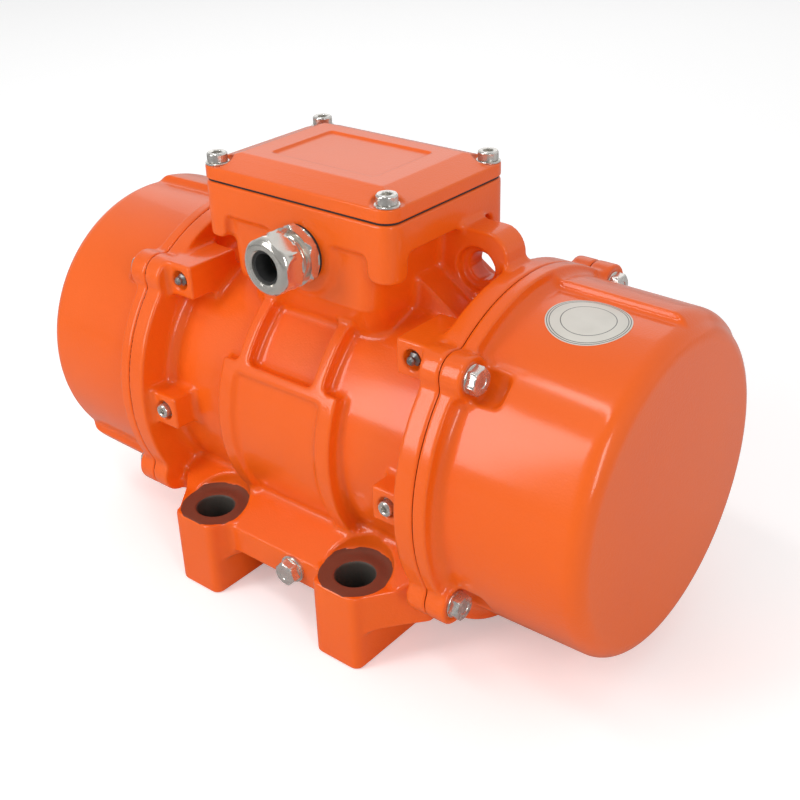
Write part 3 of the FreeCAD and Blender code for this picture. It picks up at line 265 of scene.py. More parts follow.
@dataclass(frozen=True)
class Finish:
    """Base of all finishes: two colours that mottle into each other, roughness and a fine relief."""

    name: str
    light: Colour
    dark: Colour
    roughness: tuple[float, float]
    metallic: float = 0.0
    mottle: float = 20.0
    grain: float = 600.0
    slow_share: float = 0.5
    relief: float = 0.00002
    coat: float = 0.0
    coat_roughness: float = 0.05
    specular: float = 0.5

    def start(self) -> tuple[Material, Tree, bpy.types.NodeInputs, Socket]:
        """Make the material with its shader and its Object coordinates.

        Returns:
            Material, node tree, inputs of the Principled shader and the Object coordinates.
        """
        material = bpy.data.materials.new(self.name)
        material.use_nodes = True
        tree = material.node_tree
        shader = tree.nodes["Principled BSDF"].inputs
        shader["Metallic"].default_value = self.metallic
        shader["Coat Weight"].default_value = self.coat
        shader["Coat Roughness"].default_value = self.coat_roughness
        shader["Specular IOR Level"].default_value = self.specular
        return material, tree, shader, tree.nodes.new("ShaderNodeTexCoord").outputs["Object"]

    def placed(self, tree: Tree, group: Tree, place: Socket, **values: float) -> bpy.types.NodeOutputs:
        """Place a node group with values, a blank in an input's name written as _, and return its outputs.

        Args:
            tree: node tree that gets the nodes.
            group: group to place.
            place: coordinates.
            values: inputs by name, a blank written as _.

        Returns:
            The group's outputs.
        """
        node = tree.nodes.new("ShaderNodeGroup")
        node.node_tree = group
        link(tree, place, node.inputs["Vector"])
        for label, value in values.items():
            node.inputs[label.replace("_", " ")].default_value = value
        return node.outputs

    def pattern(self, tree: Tree, place: Socket) -> bpy.types.NodeOutputs:
        """Place the grain group and return its outputs."""
        return self.placed(tree, grain_group(), place, Mottle_Scale=self.mottle, Grain_Scale=self.grain,
                           Slow_Share=self.slow_share)

    def face(self, tree: Tree, mask: Socket) -> Socket:
        """The two colours of the finish, mottled by a mask."""
        return self.mix(tree, self.ramp(tree, mask, 0.0, 1.0), self.dark, self.light)

    def mix(self, tree: Tree, factor: Socket, first: object, second: object) -> Socket:
        """Mix two colours, each given as a colour or as a socket.

        Args:
            tree: node tree that gets the nodes.
            factor: share of the second colour.
            first: colour or socket.
            second: colour or socket.

        Returns:
            The mixed colour.
        """
        node = tree.nodes.new("ShaderNodeMix")
        node.data_type = "RGBA"
        link(tree, factor, node.inputs["Factor"])
        for label, value in (("A", first), ("B", second)):
            socket = [s for s in node.inputs if s.name == label and s.type == "RGBA"][0]
            if isinstance(value, Socket):
                link(tree, value, socket)
            else:
                socket.default_value = (*value, 1.0)
        return [s for s in node.outputs if s.type == "RGBA"][0]

    def ramp(self, tree: Tree, value: Socket, low: float, high: float) -> Socket:
        """Map the values that a noise mostly takes onto low to high.

        Args:
            tree: node tree that gets the nodes.
            value: noise value.
            low: result at the low end.
            high: result at the high end.

        Returns:
            The mapped value.
        """
        node = tree.nodes.new("ShaderNodeMapRange")
        noise_low, noise_high = 0.3, 0.7
        for label, bound in (("From Min", noise_low), ("From Max", noise_high), ("To Min", low),
                             ("To Max", high)):
            node.inputs[label].default_value = bound
        link(tree, value, node.inputs["Value"])
        return node.outputs["Result"]

    def bump(self, tree: Tree, height: Socket, shader: bpy.types.NodeInputs) -> None:
        """Feed a height into the shader's normal.

        Args:
            tree: node tree that gets the nodes.
            height: height, 0 to 1.
            shader: inputs of the Principled shader.
        """
        node = tree.nodes.new("ShaderNodeBump")
        node.inputs["Distance"].default_value = self.relief
        node.inputs["Strength"].default_value = 1.0
        link(tree, height, node.inputs["Height"])
        link(tree, node.outputs["Normal"], shader["Normal"])

    def build(self) -> Material:
        """Make the material.

        Returns:
            The material.
        """
        material, tree, shader, place = self.start()
        marks = self.pattern(tree, place)
        link(tree, self.face(tree, marks["Mottle"]), shader["Base Color"])
        link(tree, self.ramp(tree, marks["Mottle"], *self.roughness), shader["Roughness"])
        self.bump(tree, marks["Height"], shader)
        return material


@dataclass(frozen=True)
class Enamel(Finish):
    """Glossy sprayed enamel on a casting, left off the machined rings of the feet."""

    primer: Colour = (0.2, 0.055, 0.03)
    steel: Colour = (0.13, 0.115, 0.1)
    foot_half_x: float = 0.055
    foot_half_y: float = 0.0875
    ring_radius: float = 0.0212
    hole_radius: float = 0.0112
    ring_low: float = 0.0475
    ring_high: float = 0.0508
    seam_x: float = 0.1055
    seam_width: float = 0.0005
    seam_tone: Colour = (0.12, 0.018, 0.008)
    bare_roughness: float = 0.25
    wall_metallic: float = 0.7

    def build(self) -> Material:
        """Make the enamel with its bare rings and the seam under each cover.

        Returns:
            The material.
        """
        material, tree, shader, place = self.start()
        marks = self.pattern(tree, place)
        masks = self.placed(tree, foot_mask_group(self.foot_half_x, self.foot_half_y, self.ring_radius,
                                                  self.hole_radius, self.ring_low, self.ring_high), place)
        ring, hole = masks["Ring"], masks["Hole"]
        bare = self.mix(tree, hole, self.primer, self.steel)
        along = math_node(tree, "ABSOLUTE", parts_of(tree, place)["X"])
        away = math_node(tree, "SUBTRACT", along, self.seam_x)
        seam = math_node(tree, "LESS_THAN", math_node(tree, "ABSOLUTE", away), self.seam_width / 2)
        paint = self.mix(tree, seam, self.face(tree, marks["Mottle"]), self.seam_tone)
        either = math_node(tree, "MAXIMUM", ring, hole)
        link(tree, self.mix(tree, either, paint, bare), shader["Base Color"])
        rough = self.ramp(tree, marks["Mottle"], *self.roughness)
        link(tree, math_node(tree, "MULTIPLY_ADD", either, self.bare_roughness, rough), shader["Roughness"])
        link(tree, math_node(tree, "MULTIPLY_ADD", either, -self.coat, self.coat), shader["Coat Weight"])
        link(tree, math_node(tree, "MULTIPLY", hole, self.wall_metallic), shader["Metallic"])
        self.bump(tree, marks["Height"], shader)
        return material


@dataclass(frozen=True)
class Turned(Finish):
    """Metal with fine rings across the shaft direction."""

    pitch: float = 4000.0
    wobble: float = 0.4

    def build(self) -> Material:
        """Make the turned metal.

        Returns:
            The material.
        """
        material, tree, shader, place = self.start()
        marks = self.placed(tree, turning_group(), place, Pitch=self.pitch, Wobble=self.wobble)
        link(tree, self.face(tree, marks["Shade"]), shader["Base Color"])
        link(tree, self.ramp(tree, marks["Shade"], *self.roughness), shader["Roughness"])
        self.bump(tree, marks["Rings"], shader)
        return material


@dataclass(frozen=True)
class RingedLabel(Finish):
    """Silver label with plain printed rings about its middle."""

    centre: Point = (0.0, 0.0, 0.0)
    ink: Colour = (0.16, 0.16, 0.15)
    halves: tuple[float, float] = (0.0216, 0.0194)
    ring_radii: tuple[float, ...] = (0.955, 0.9, 0.64)
    ring_width: float = 0.022

    def build(self) -> Material:
        """Make the label; the rings are found on coordinates scaled by its two half lengths.

        Returns:
            The material.
        """
        material, tree, shader, place = self.start()
        marks = self.pattern(tree, place)
        reach = place
        for operation, value in (("SUBTRACT", self.centre), ("DIVIDE", (*self.halves, self.halves[1]))):
            node = tree.nodes.new("ShaderNodeVectorMath")
            node.operation = operation
            link(tree, reach, node.inputs[0])
            node.inputs[1].default_value = value
            reach = node.outputs[0]
        length = tree.nodes.new("ShaderNodeVectorMath")
        length.operation = "LENGTH"
        link(tree, reach, length.inputs[0])
        ink = None
        for radius in self.ring_radii:
            away = math_node(tree, "SUBTRACT", length.outputs["Value"], radius)
            line = math_node(tree, "LESS_THAN", math_node(tree, "ABSOLUTE", away), self.ring_width / 2)
            ink = line if ink is None else math_node(tree, "MAXIMUM", ink, line)
        link(tree, self.mix(tree, ink, self.face(tree, marks["Mottle"]), self.ink), shader["Base Color"])
        link(tree, self.ramp(tree, marks["Mottle"], *self.roughness), shader["Roughness"])
        self.bump(tree, marks["Height"], shader)
        return material


@dataclass
class Finishes:
    """All materials of the motor by the record's slot names."""

    made: dict[str, Material] = field(default_factory=dict)

    def build(self) -> None:
        """Make every finish once."""
        plans: list[Finish] = [
            Enamel("enamel", (0.89, 0.13, 0.005), (0.85, 0.115, 0.004), (0.36, 0.44), mottle=9.0,
                   grain=900.0, slow_share=1.0, relief=0.00016, coat=0.64, coat_roughness=0.14,
                   specular=0.2),
            Finish("stainless", (0.8, 0.78, 0.74), (0.66, 0.64, 0.6), (0.18, 0.3), metallic=0.86,
                   mottle=260.0, grain=2400.0),
            Finish("nickel", (0.86, 0.83, 0.77), (0.76, 0.73, 0.67), (0.1, 0.2), metallic=0.9, mottle=120.0,
                   grain=1800.0, relief=0.00001),
            Finish("gasket_rubber", (0.03, 0.03, 0.03), (0.015, 0.015, 0.015), (0.55, 0.75),
                   grain=1500.0),
            Finish("board_plastic", (0.13, 0.06, 0.03), (0.09, 0.04, 0.02), (0.35, 0.5), grain=900.0),
            Turned("brass", (0.78, 0.56, 0.24), (0.62, 0.42, 0.16), (0.2, 0.35), metallic=1.0,
                   pitch=6000.0),
            Finish("cast_iron", (0.23, 0.23, 0.24), (0.12, 0.12, 0.13), (0.45, 0.65), metallic=0.8,
                   grain=800.0, relief=0.00012),
            Finish("screw_steel", (0.34, 0.33, 0.32), (0.2, 0.2, 0.2), (0.3, 0.45), metallic=0.8,
                   grain=2000.0),
            Turned("bearing_steel", (0.72, 0.72, 0.74), (0.6, 0.6, 0.62), (0.08, 0.16), metallic=1.0,
                   pitch=9000.0, relief=0.000005),
            Turned("lamination", (0.34, 0.35, 0.37), (0.2, 0.21, 0.23), (0.35, 0.5), metallic=0.9,
                   pitch=12566.0, wobble=0.1, relief=0.00012),
            Turned("copper", (0.72, 0.3, 0.13), (0.5, 0.17, 0.06), (0.25, 0.4), metallic=0.9, pitch=7000.0,
                   wobble=4.0, relief=0.00015),
            Finish("rotor_alloy", (0.76, 0.76, 0.78), (0.62, 0.62, 0.64), (0.3, 0.45), metallic=1.0,
                   grain=700.0, relief=0.00006),
            Turned("shaft_steel", (0.6, 0.6, 0.61), (0.48, 0.48, 0.5), (0.18, 0.3), metallic=1.0,
                   pitch=8000.0),
            Turned("weight_steel", (0.42, 0.42, 0.43), (0.25, 0.24, 0.24), (0.35, 0.5), metallic=1.0,
                   pitch=3000.0, relief=0.00008),
        ]
        for plan in plans:
            self.made[plan.name] = plan.build()

    def of(self, slot: str) -> Material:
        """Material of a slot."""
        return self.made[slot]


# Mesh helpers


def mesh_object(name: str, vertices: np.ndarray, faces: Sequence[Sequence[int]]) -> Piece:
    """Make a mesh object at the origin from vertices in millimetres.

    Args:
        name: name of the piece.
        vertices: vertices in millimetres.
        faces: corners of each face.

    Returns:
        The new piece, at the origin.
    """
    mesh = bpy.data.meshes.new(name)
    mesh.from_pydata((np.asarray(vertices, float) * MM).tolist(), [], [list(f) for f in faces])
    mesh.validate()
    return in_scene(name, mesh)


def in_scene(name: str, content: Optional[bpy.types.ID]) -> Piece:
    """Put a mesh, lamp or camera into the scene as an object.

    Args:
        name: name of the object.
        content: mesh, lamp or camera.

    Returns:
        The new object.
    """
    made = bpy.data.objects.new(name, content)
    bpy.context.scene.collection.objects.link(made)
    return made


def settled(worked: Piece, name: str) -> Piece:
    """Plain mesh piece of what an object's modifiers give; the object is removed.

    Args:
        worked: object with its modifiers.
        name: name of the piece.

    Returns:
        The new piece.
    """
    bpy.context.view_layer.update()
    graph = bpy.context.evaluated_depsgraph_get()
    mesh = bpy.data.meshes.new_from_object(worked.evaluated_get(graph))
    worked.modifiers.clear()
    bpy.data.objects.remove(worked)
    mesh.name = name
    return in_scene(name, mesh)


def dress(piece: Piece, material: Material, sharp: Optional[float] = 35.0) -> None:
    """Give a piece its material, and smooth faces with sharp edges above an angle in degrees.

    Args:
        piece: piece to dress.
        material: its only material.
        sharp: angle in degrees from which edges stay sharp, or None for none.
    """
    piece.data.materials.clear()
    piece.data.materials.append(material)
    piece.data.polygons.foreach_set("use_smooth", [True] * len(piece.data.polygons))
    if sharp is not None:
        piece.data.set_sharp_from_angle(angle=math.radians(sharp))


def hexagon(flats: float) -> Callable[[np.ndarray], np.ndarray]:
    """Radius of a hexagon with these flats, over the angle."""
    return lambda angle: flats / 2 / np.cos((angle + math.pi / 6) % (math.pi / 3) - math.pi / 6)


def knurl(radius: float, depth: float, teeth: int) -> Callable[[np.ndarray], np.ndarray]:
    """Radius of a fluted rim, over the angle."""
    return lambda angle: radius - depth * (0.5 + 0.5 * np.cos(angle * teeth)) ** 2


def round_form(profile: Sequence[tuple[object, float]], segments: int, ring: bool = False) -> Form:
    """Mesh of a form round Z from a profile of (radius, height), each radius a number or a rule.

    Args:
        profile: points from the lower axis point outwards and up, or a closed ring counter-clockwise.
        segments: number of steps round the axis.
        ring: True where the last profile point joins the first.

    Returns:
        Vertices in millimetres and faces that point outwards.
    """
    angle = np.arange(segments) * 2 * math.pi / segments
    rows, faces, tips = [], [], []
    for radius, height in profile:
        size = radius(angle) if callable(radius) else np.full(segments, float(radius))
        rows.append(np.stack([size * np.cos(angle), size * np.sin(angle), np.full(segments, height)], 1))
        tips.append(float(np.abs(size).max()) < 1e-9)
    pairs = list(zip(range(len(rows)), range(1, len(rows)))) + ([(len(rows) - 1, 0)] if ring else [])
    starts, vertices = [], []
    for row, tip in zip(rows, tips):
        starts.append(sum(map(len, vertices)))
        vertices.append(row[:1] if tip else row)
    for low, high in pairs:
        for k in range(segments):
            n = (k + 1) % segments
            a, b = starts[low] + (0 if tips[low] else k), starts[low] + (0 if tips[low] else n)
            c, d = starts[high] + (0 if tips[high] else n), starts[high] + (0 if tips[high] else k)
            corners = [a] + ([b] if b != a else []) + [c] + ([d] if d != c else [])
            if len(corners) > 2:
                faces.append(corners)
    return np.concatenate(vertices), faces


# Geometry Nodes


def socket_of(tree: Tree, name: str) -> str:
    """Identifier of an input of a geometry tree."""
    return [s for s in tree.interface.items_tree if s.name == name and s.in_out == "INPUT"][0].identifier


def new_tree(name: str, inputs: dict[str, object]) -> tuple[Tree, bpy.types.NodeOutputs]:
    """Start a geometry tree with an input Geometry, named inputs and an input Finish.

    Args:
        name: name of the tree.
        inputs: default values by name: None makes an object input, and numbers make their own kind.

    Returns:
        The tree and the sockets that its inputs come from.
    """
    tree = bpy.data.node_groups.new(name, "GeometryNodeTree")
    kinds = {type(None): "Object", float: "Float", int: "Int"}
    tree.interface.new_socket("Geometry", in_out="INPUT", socket_type="NodeSocketGeometry")
    for label, value in inputs.items():
        kind = "NodeSocket" + kinds[type(value)]
        socket = tree.interface.new_socket(label, in_out="INPUT", socket_type=kind)
        if value is not None:
            socket.default_value = value
    tree.interface.new_socket("Finish", in_out="INPUT", socket_type="NodeSocketMaterial")
    tree.interface.new_socket("Geometry", in_out="OUTPUT", socket_type="NodeSocketGeometry")
    return tree, tree.nodes.new("NodeGroupInput").outputs


def wired(tree: Tree, kind: str, output: object, wires: dict[object, Socket], **settings: object) -> Socket:
    """Add a node, set it, join its inputs and return one of its outputs.

    Args:
        tree: node tree that gets the nodes.
        kind: type of the node.
        output: name or place of the output.
        wires: sources by input.
        settings: properties of the node.

    Returns:
        The output.
    """
    node = tree.nodes.new(kind)
    for label, value in settings.items():
        setattr(node, label, value)
    for label, source in wires.items():
        link(tree, source, node.inputs[label])
    return node.outputs[output]


def end_tree(tree: Tree, geometry: Socket, finish: Socket) -> Tree:
    """End a geometry tree in Realize Instances and Set Material.

    Args:
        tree: node tree that gets the nodes.
        geometry: geometry to put out.
        finish: its material.

    Returns:
        The tree.
    """
    real = wired(tree, "GeometryNodeRealizeInstances", "Geometry", {"Geometry": geometry})
    coat = wired(tree, "GeometryNodeSetMaterial", "Geometry", {"Geometry": real, "Material": finish})
    link(tree, coat, tree.nodes.new("NodeGroupOutput").inputs["Geometry"])
    return tree


def set_tree() -> Tree:
    """Tree that puts a copy of one part on each point, turned to the point's facing vector.

    Returns:
        The tree, made once.
    """
    found = bpy.data.node_groups.get("part_set")
    if found:
        return found
    tree, enter = new_tree("part_set", {"Part": None, "Size": 1.0, "Turn": 0.0, "Seed": 7})
    facing = tree.nodes.new("GeometryNodeInputNamedAttribute")
    facing.data_type = "FLOAT_VECTOR"
    facing.inputs["Name"].default_value = "facing"
    align = wired(tree, "FunctionNodeAlignRotationToVector", "Rotation",
                  {"Vector": facing.outputs["Attribute"]}, axis="Z")
    chance = tree.nodes.new("FunctionNodeRandomValue")
    chance.data_type = "FLOAT"
    link(tree, enter["Seed"], chance.inputs["Seed"])
    share = [s for s in chance.outputs if s.type == "VALUE"][0]
    angle = wired(tree, "ShaderNodeMath", 0, {0: share, 1: enter["Turn"]}, operation="MULTIPLY")
    about_z = wired(tree, "ShaderNodeCombineXYZ", 0, {"Z": angle})
    turn = wired(tree, "FunctionNodeEulerToRotation", 0, {0: about_z})
    both = wired(tree, "FunctionNodeRotateRotation", 0, {"Rotation": align, "Rotate By": turn},
                 rotation_space="LOCAL")
    part = wired(tree, "GeometryNodeObjectInfo", "Geometry", {"Object": enter["Part"]})
    copies = wired(tree, "GeometryNodeInstanceOnPoints", "Instances",
                   {"Points": enter["Geometry"], "Instance": part, "Rotation": both, "Scale": enter["Size"]})
    return end_tree(tree, copies, enter["Finish"])


def thread_tree() -> Tree:
    """Tree that winds a ridge round Z as a screw thread.

    Returns:
        The tree, made once.
    """
    found = bpy.data.node_groups.get("screw_thread")
    if found:
        return found
    tree, enter = new_tree("screw_thread", {"Radius": 0.0125, "Length": 0.01, "Turns": 6.0, "Ridge": 0.0005})
    spiral = tree.nodes.new("GeometryNodeCurveSpiral")
    spiral.inputs["Resolution"].default_value = 48
    for label, source in (("Rotations", "Turns"), ("Start Radius", "Radius"), ("End Radius", "Radius"),
                          ("Height", "Length")):
        link(tree, enter[source], spiral.inputs[label])
    ridge = tree.nodes.new("GeometryNodeCurvePrimitiveCircle")
    ridge.inputs["Resolution"].default_value = 4
    link(tree, enter["Ridge"], ridge.inputs["Radius"])
    sweep = tree.nodes.new("GeometryNodeCurveToMesh")
    sweep.inputs["Fill Caps"].default_value = True
    link(tree, spiral.outputs["Curve"], sweep.inputs["Curve"])
    link(tree, ridge.outputs["Curve"], sweep.inputs["Profile Curve"])
    return end_tree(tree, sweep.outputs["Mesh"], enter["Finish"])


def settle(carrier: Piece, tree: Tree, values: dict[str, object], name: str) -> Piece:
    """Run a geometry tree on a carrier and keep the result as a plain mesh.

    Args:
        carrier: object whose mesh feeds the tree; it is removed.
        tree: geometry tree.
        values: inputs by name.
        name: name of the piece.

    Returns:
        The new object.
    """
    modifier = carrier.modifiers.new("build", "NODES")
    modifier.node_group = tree
    for label, value in values.items():
        modifier[socket_of(tree, label)] = value
    return settled(carrier, name)


# Cast skins


@dataclass(frozen=True)
class Round:
    """Cylinder in millimetres: an axis, its place across it, a radius and a span along it."""

    axis: Axis
    place: tuple[float, float]
    radius: float
    span: tuple[float, float]


@dataclass(frozen=True)
class Sector:
    """Exact ring sector about the shaft: span along X, radius and angles from the gland side up."""

    span: tuple[float, float]
    radius: float
    angles: Optional[tuple[float, float]] = None
    depth: float = 6.0


@dataclass(frozen=True)
class Drum:
    """Exact outside of a turned cover: cone along X with a round outer end, less its bolt scoops."""

    start: float
    end: float
    radii: tuple[float, float]
    edge: float
    side: int
    angles: Optional[tuple[float, float]] = None
    clear: Sequence[tuple[float, float]] = ()
    clear_radius: float = 15.0
    clear_end: float = 138.0
    depth: float = 2.5

    def solid(self, along: np.ndarray, across: np.ndarray, up: np.ndarray) -> np.ndarray:
        """Field of the drum's outer layer on the skin's axes, in millimetres.

        Args:
            along: X places.
            across: Y places.
            up: Z places.

        Returns:
            The field.
        """
        x, height = self.side * along, up - SHAFT_HEIGHT
        radius = np.sqrt(across ** 2 + height ** 2)
        share = np.clip((x - self.start) / (self.end - self.edge - self.start), 0.0, 1.0)
        beyond = radius - (self.radii[0] + (self.radii[1] - self.radii[0]) * share) + self.edge
        ahead = x - self.end + self.edge
        outside = np.sqrt(np.maximum(beyond, 0.0) ** 2 + np.maximum(ahead, 0.0) ** 2)
        level = outside + np.minimum(np.maximum(beyond, ahead), 0.0) - self.edge
        level = np.maximum(np.maximum(level, -level - self.depth), self.start - x)
        for y, z in self.clear:
            gap = self.clear_radius - np.sqrt((across - y) ** 2 + (up - z) ** 2)
            level = np.maximum(level, np.minimum(gap, self.clear_end - x))
        if self.angles:
            level = np.maximum(level, wedge(height, across, self.angles))
        return level


def wedge(height: np.ndarray, across: np.ndarray, angles: tuple[float, float]) -> np.ndarray:
    """Field of the room between two angles about the shaft, counted from the gland side up.

    Args:
        height: height above the shaft.
        across: Y places.
        angles: both angles, degrees.

    Returns:
        The field, negative inside.
    """
    middle, half = math.radians(sum(angles) / 2), math.radians(angles[1] - angles[0]) / 2
    aside = height * math.cos(middle) + across * math.sin(middle)
    reach = height * math.sin(middle) - across * math.cos(middle)
    return np.abs(aside) * math.cos(half) - reach * math.sin(half)


@dataclass
class CastSkin:
    """Skin of a cast node: its solid with round inner corners, softened edges and true curves.

    The node's solid is read as a distance field. Rolling a ball of the fillet radius over it fills
    its inner corners; kept rounds stay crisp, and exact sectors and drums restore true curves.
    """

    node: str
    voxel: float
    fillet: float
    body: str = "frame"
    soften: int = 1
    budget: int = 190000
    crisp: Sequence[Round] = ()
    exact: Sequence[Sector] = ()
    drums: Sequence[Drum] = ()
    crisp_border: float = 1.5
    band: float = 3.0
    margin: int = 4

    def source(self) -> tuple[np.ndarray, np.ndarray]:
        """Vertices in millimetres, merged by distance, and triangles of the node.

        Returns:
            Vertices and triangles.
        """
        mesh = self.node_object.data
        points = np.zeros(len(mesh.vertices) * 3, np.float32)
        mesh.vertices.foreach_get("co", points)
        points = points.reshape(-1, 3) / MM
        mesh.calc_loop_triangles()
        triangles = np.zeros(len(mesh.loop_triangles) * 3, np.int32)
        mesh.loop_triangles.foreach_get("vertices", triangles)
        merged, index = np.unique(np.round(points, 3), axis=0, return_inverse=True)
        return merged.astype(np.float32), index.reshape(-1)[triangles].reshape(-1, 3).astype(np.uint32)

    def level_set(self, points: np.ndarray, reach: float, triangles: Optional[np.ndarray] = None,
                  quads: Optional[np.ndarray] = None) -> object:
        """Distance field of a closed mesh, true out to a reach in millimetres.

        Args:
            points: vertices in millimetres.
            reach: width of the true band.
            triangles: corners of the triangles.
            quads: corners of the quads.

        Returns:
            The grid.
        """
        faces = {}
        if triangles is not None and len(triangles):
            faces["triangles"] = triangles
        if quads is not None and len(quads):
            faces["quads"] = quads
        return vdb.FloatGrid.createLevelSetFromPolygons(
            points, transform=vdb.createLinearTransform(self.voxel),
            halfWidth=reach / self.voxel + self.band, **faces)

    def sampled(self, grid: object) -> np.ndarray:
        """Values of a field on the skin's box.

        Args:
            grid: grid to read.

        Returns:
            The values.
        """
        values = np.zeros(self.shape, np.float32)
        grid.copyToArray(values, ijk=self.low)
        return values

    def rolled(self, grid: object, radius: float) -> np.ndarray:
        """Field after a ball of this radius has rolled over the outside."""
        points, triangles, quads = grid.convertToPolygons(isovalue=radius, adaptivity=0.0)
        return self.sampled(self.level_set(points, radius, triangles, quads)) + radius

    def distance(self, item: Round) -> np.ndarray:
        """Distance outside a round, in millimetres, over the skin's box.

        Args:
            item: the round.

        Returns:
            The distances, negative inside.
        """
        across = [k for k in range(3) if k != item.axis.value]
        first, second = self.axes[across[0]] - item.place[0], self.axes[across[1]] - item.place[1]
        along = self.axes[item.axis.value]
        radial = np.sqrt(first ** 2 + second ** 2) - item.radius
        return np.maximum(radial, np.maximum(item.span[0] - along, along - item.span[1]))

    def keep_crisp(self, values: np.ndarray, plain: np.ndarray) -> np.ndarray:
        """Rolled field with the plain one inside the kept rounds, across a soft border.

        Args:
            values: rolled field.
            plain: field of the solid itself.

        Returns:
            The joined field.
        """
        for zone in self.crisp:
            weight = np.clip(0.5 - self.distance(zone) / self.crisp_border, 0.0, 1.0)
            values = values + (plain - values) * weight
        return values

    def add_exact(self, values: np.ndarray) -> np.ndarray:
        """Join the exact sectors and drums to the field.

        Args:
            values: field on the skin's box, in millimetres.

        Returns:
            The joined field.
        """
        along, across, up = self.axes
        radius = np.sqrt(across ** 2 + (up - SHAFT_HEIGHT) ** 2)
        for item in self.exact:
            solid = np.maximum(radius - item.radius, item.radius - item.depth - radius)
            solid = np.maximum(solid, np.maximum(item.span[0] - along, along - item.span[1]))
            if item.angles:
                solid = np.maximum(solid, wedge(up - SHAFT_HEIGHT, across, item.angles))
            values = np.minimum(values, solid)
        for drum in self.drums:
            values = np.minimum(values, drum.solid(along, across, up))
        return values

    def softened(self, values: np.ndarray) -> np.ndarray:
        """Field after a few short averages, which round the outer edges a little.

        Args:
            values: field on the skin's box, in millimetres.

        Returns:
            The same field, changed in place.
        """
        for _ in range(self.soften):
            for axis in range(3):
                middle = np.moveaxis(values, axis, 0)
                middle[1:-1] = (middle[:-2] + 2 * middle[1:-1] + middle[2:]) / 4
        return values

    def normals(self, values: np.ndarray, points: np.ndarray) -> np.ndarray:
        """Directions of steepest rise of the field at the points.

        Args:
            values: field on the skin's box, in millimetres.
            points: places in millimetres.

        Returns:
            Unit directions.
        """
        place = points / self.voxel - np.array(self.low, np.float32)
        step = 0.75
        found = np.zeros_like(points)
        for axis in range(3):
            shift = np.zeros(3, np.float32)
            shift[axis] = step
            found[:, axis] = self.read(values, place + shift) - self.read(values, place - shift)
        return found / np.maximum(np.linalg.norm(found, axis=1, keepdims=True), 1e-9)

    @staticmethod
    def read(values: np.ndarray, place: np.ndarray) -> np.ndarray:
        """Field values between the grid points.

        Args:
            values: field on its grid.
            place: places in grid steps.

        Returns:
            The values.
        """
        top = np.array(values.shape) - 2
        cell = np.clip(np.floor(place).astype(int), 0, top)
        part = np.clip(place - cell, 0.0, 1.0)
        total = np.zeros(len(place), np.float32)
        for corner in range(8):
            offset = np.array([corner & 1, corner >> 1 & 1, corner >> 2 & 1])
            weight = np.prod(np.where(offset, part, 1 - part), axis=1)
            spot = cell + offset
            total += weight * values[spot[:, 0], spot[:, 1], spot[:, 2]]
        return total

    def field_of(self) -> np.ndarray:
        """The skin's distance field.

        Returns:
            Distances in millimetres, negative inside.
        """
        points, triangles = self.source()
        self.low = tuple(int(v) - self.margin for v in np.floor(points.min(0) / self.voxel))
        high = np.ceil(points.max(0) / self.voxel).astype(int) + self.margin
        self.shape = tuple(int(end - start + 1) for end, start in zip(high, self.low))
        lines = [(np.arange(n) + start) * self.voxel for n, start in zip(self.shape, self.low)]
        self.axes = [line.astype(np.float32).reshape([-1 if k == j else 1 for j in range(3)])
                     for k, line in enumerate(lines)]
        self.box = (points.min(0), points.max(0))
        grid = self.level_set(points, self.fillet, triangles)
        plain = self.sampled(grid)
        values = self.keep_crisp(self.rolled(grid, self.fillet), plain)
        return self.softened(self.add_exact(values))

    def build(self, frame: dict, name: str, finishes: Finishes) -> Piece:
        """Make the skin, hide the node it stands for and dress it.

        Args:
            frame: the loaded frame.
            name: name of the piece.
            finishes: the motor's finishes.

        Returns:
            The new piece.
        """
        self.node_object = frame["nodes"][self.node]
        values = self.field_of()
        far_outside = 10.0
        grid = vdb.FloatGrid(far_outside)
        grid.copyFromArray(values, ijk=self.low)
        grid.transform = vdb.createLinearTransform(self.voxel)
        grid.gridClass = vdb.GridClass.LEVEL_SET
        points, triangles, quads = grid.convertToPolygons(isovalue=0.0, adaptivity=0.0)
        points = np.clip(points, self.box[0], self.box[1])
        faces = [tuple(corners) for part in (quads, triangles) for corners in np.asarray(part)[:, ::-1]]
        rough = mesh_object(name + "_rough", points, faces)
        count = 2 * len(quads) + len(triangles)
        if count > self.budget:
            rough.modifiers.new("thin", "DECIMATE").ratio = self.budget / count
        piece = settled(rough, name)
        mesh = piece.data
        dress(piece, finishes.of("enamel"), None)
        place = np.zeros(len(mesh.vertices) * 3, np.float32)
        mesh.vertices.foreach_get("co", place)
        normals = self.normals(values, place.reshape(-1, 3) / MM)
        mesh.normals_split_custom_set_from_vertices(normals.tolist())
        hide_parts(self.node)
        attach(piece, self.body)
        LOG.info("%s: %d triangles from %d", name, len(mesh.polygons), count)
        return piece


@dataclass(frozen=True)
class BoltCircle:
    """Bolts of a cover about the shaft: radius and seat in millimetres, angles from the gland side up."""

    radius: float = 96.8
    angles: tuple[float, ...] = (47.0, 131.0, 214.0, 326.0)
    seat: float = 118.0

    def places(self) -> list[tuple[float, float]]:
        """Places of the bolts across the shaft."""
        turns = [math.radians(angle) for angle in self.angles]
        return [(-self.radius * math.cos(a), SHAFT_HEIGHT + self.radius * math.sin(a)) for a in turns]


def mirrored_span(span: tuple[float, float], side: int) -> tuple[float, float]:
    """A span along X on one side of the motor."""
    return span if side > 0 else (-span[1], -span[0])


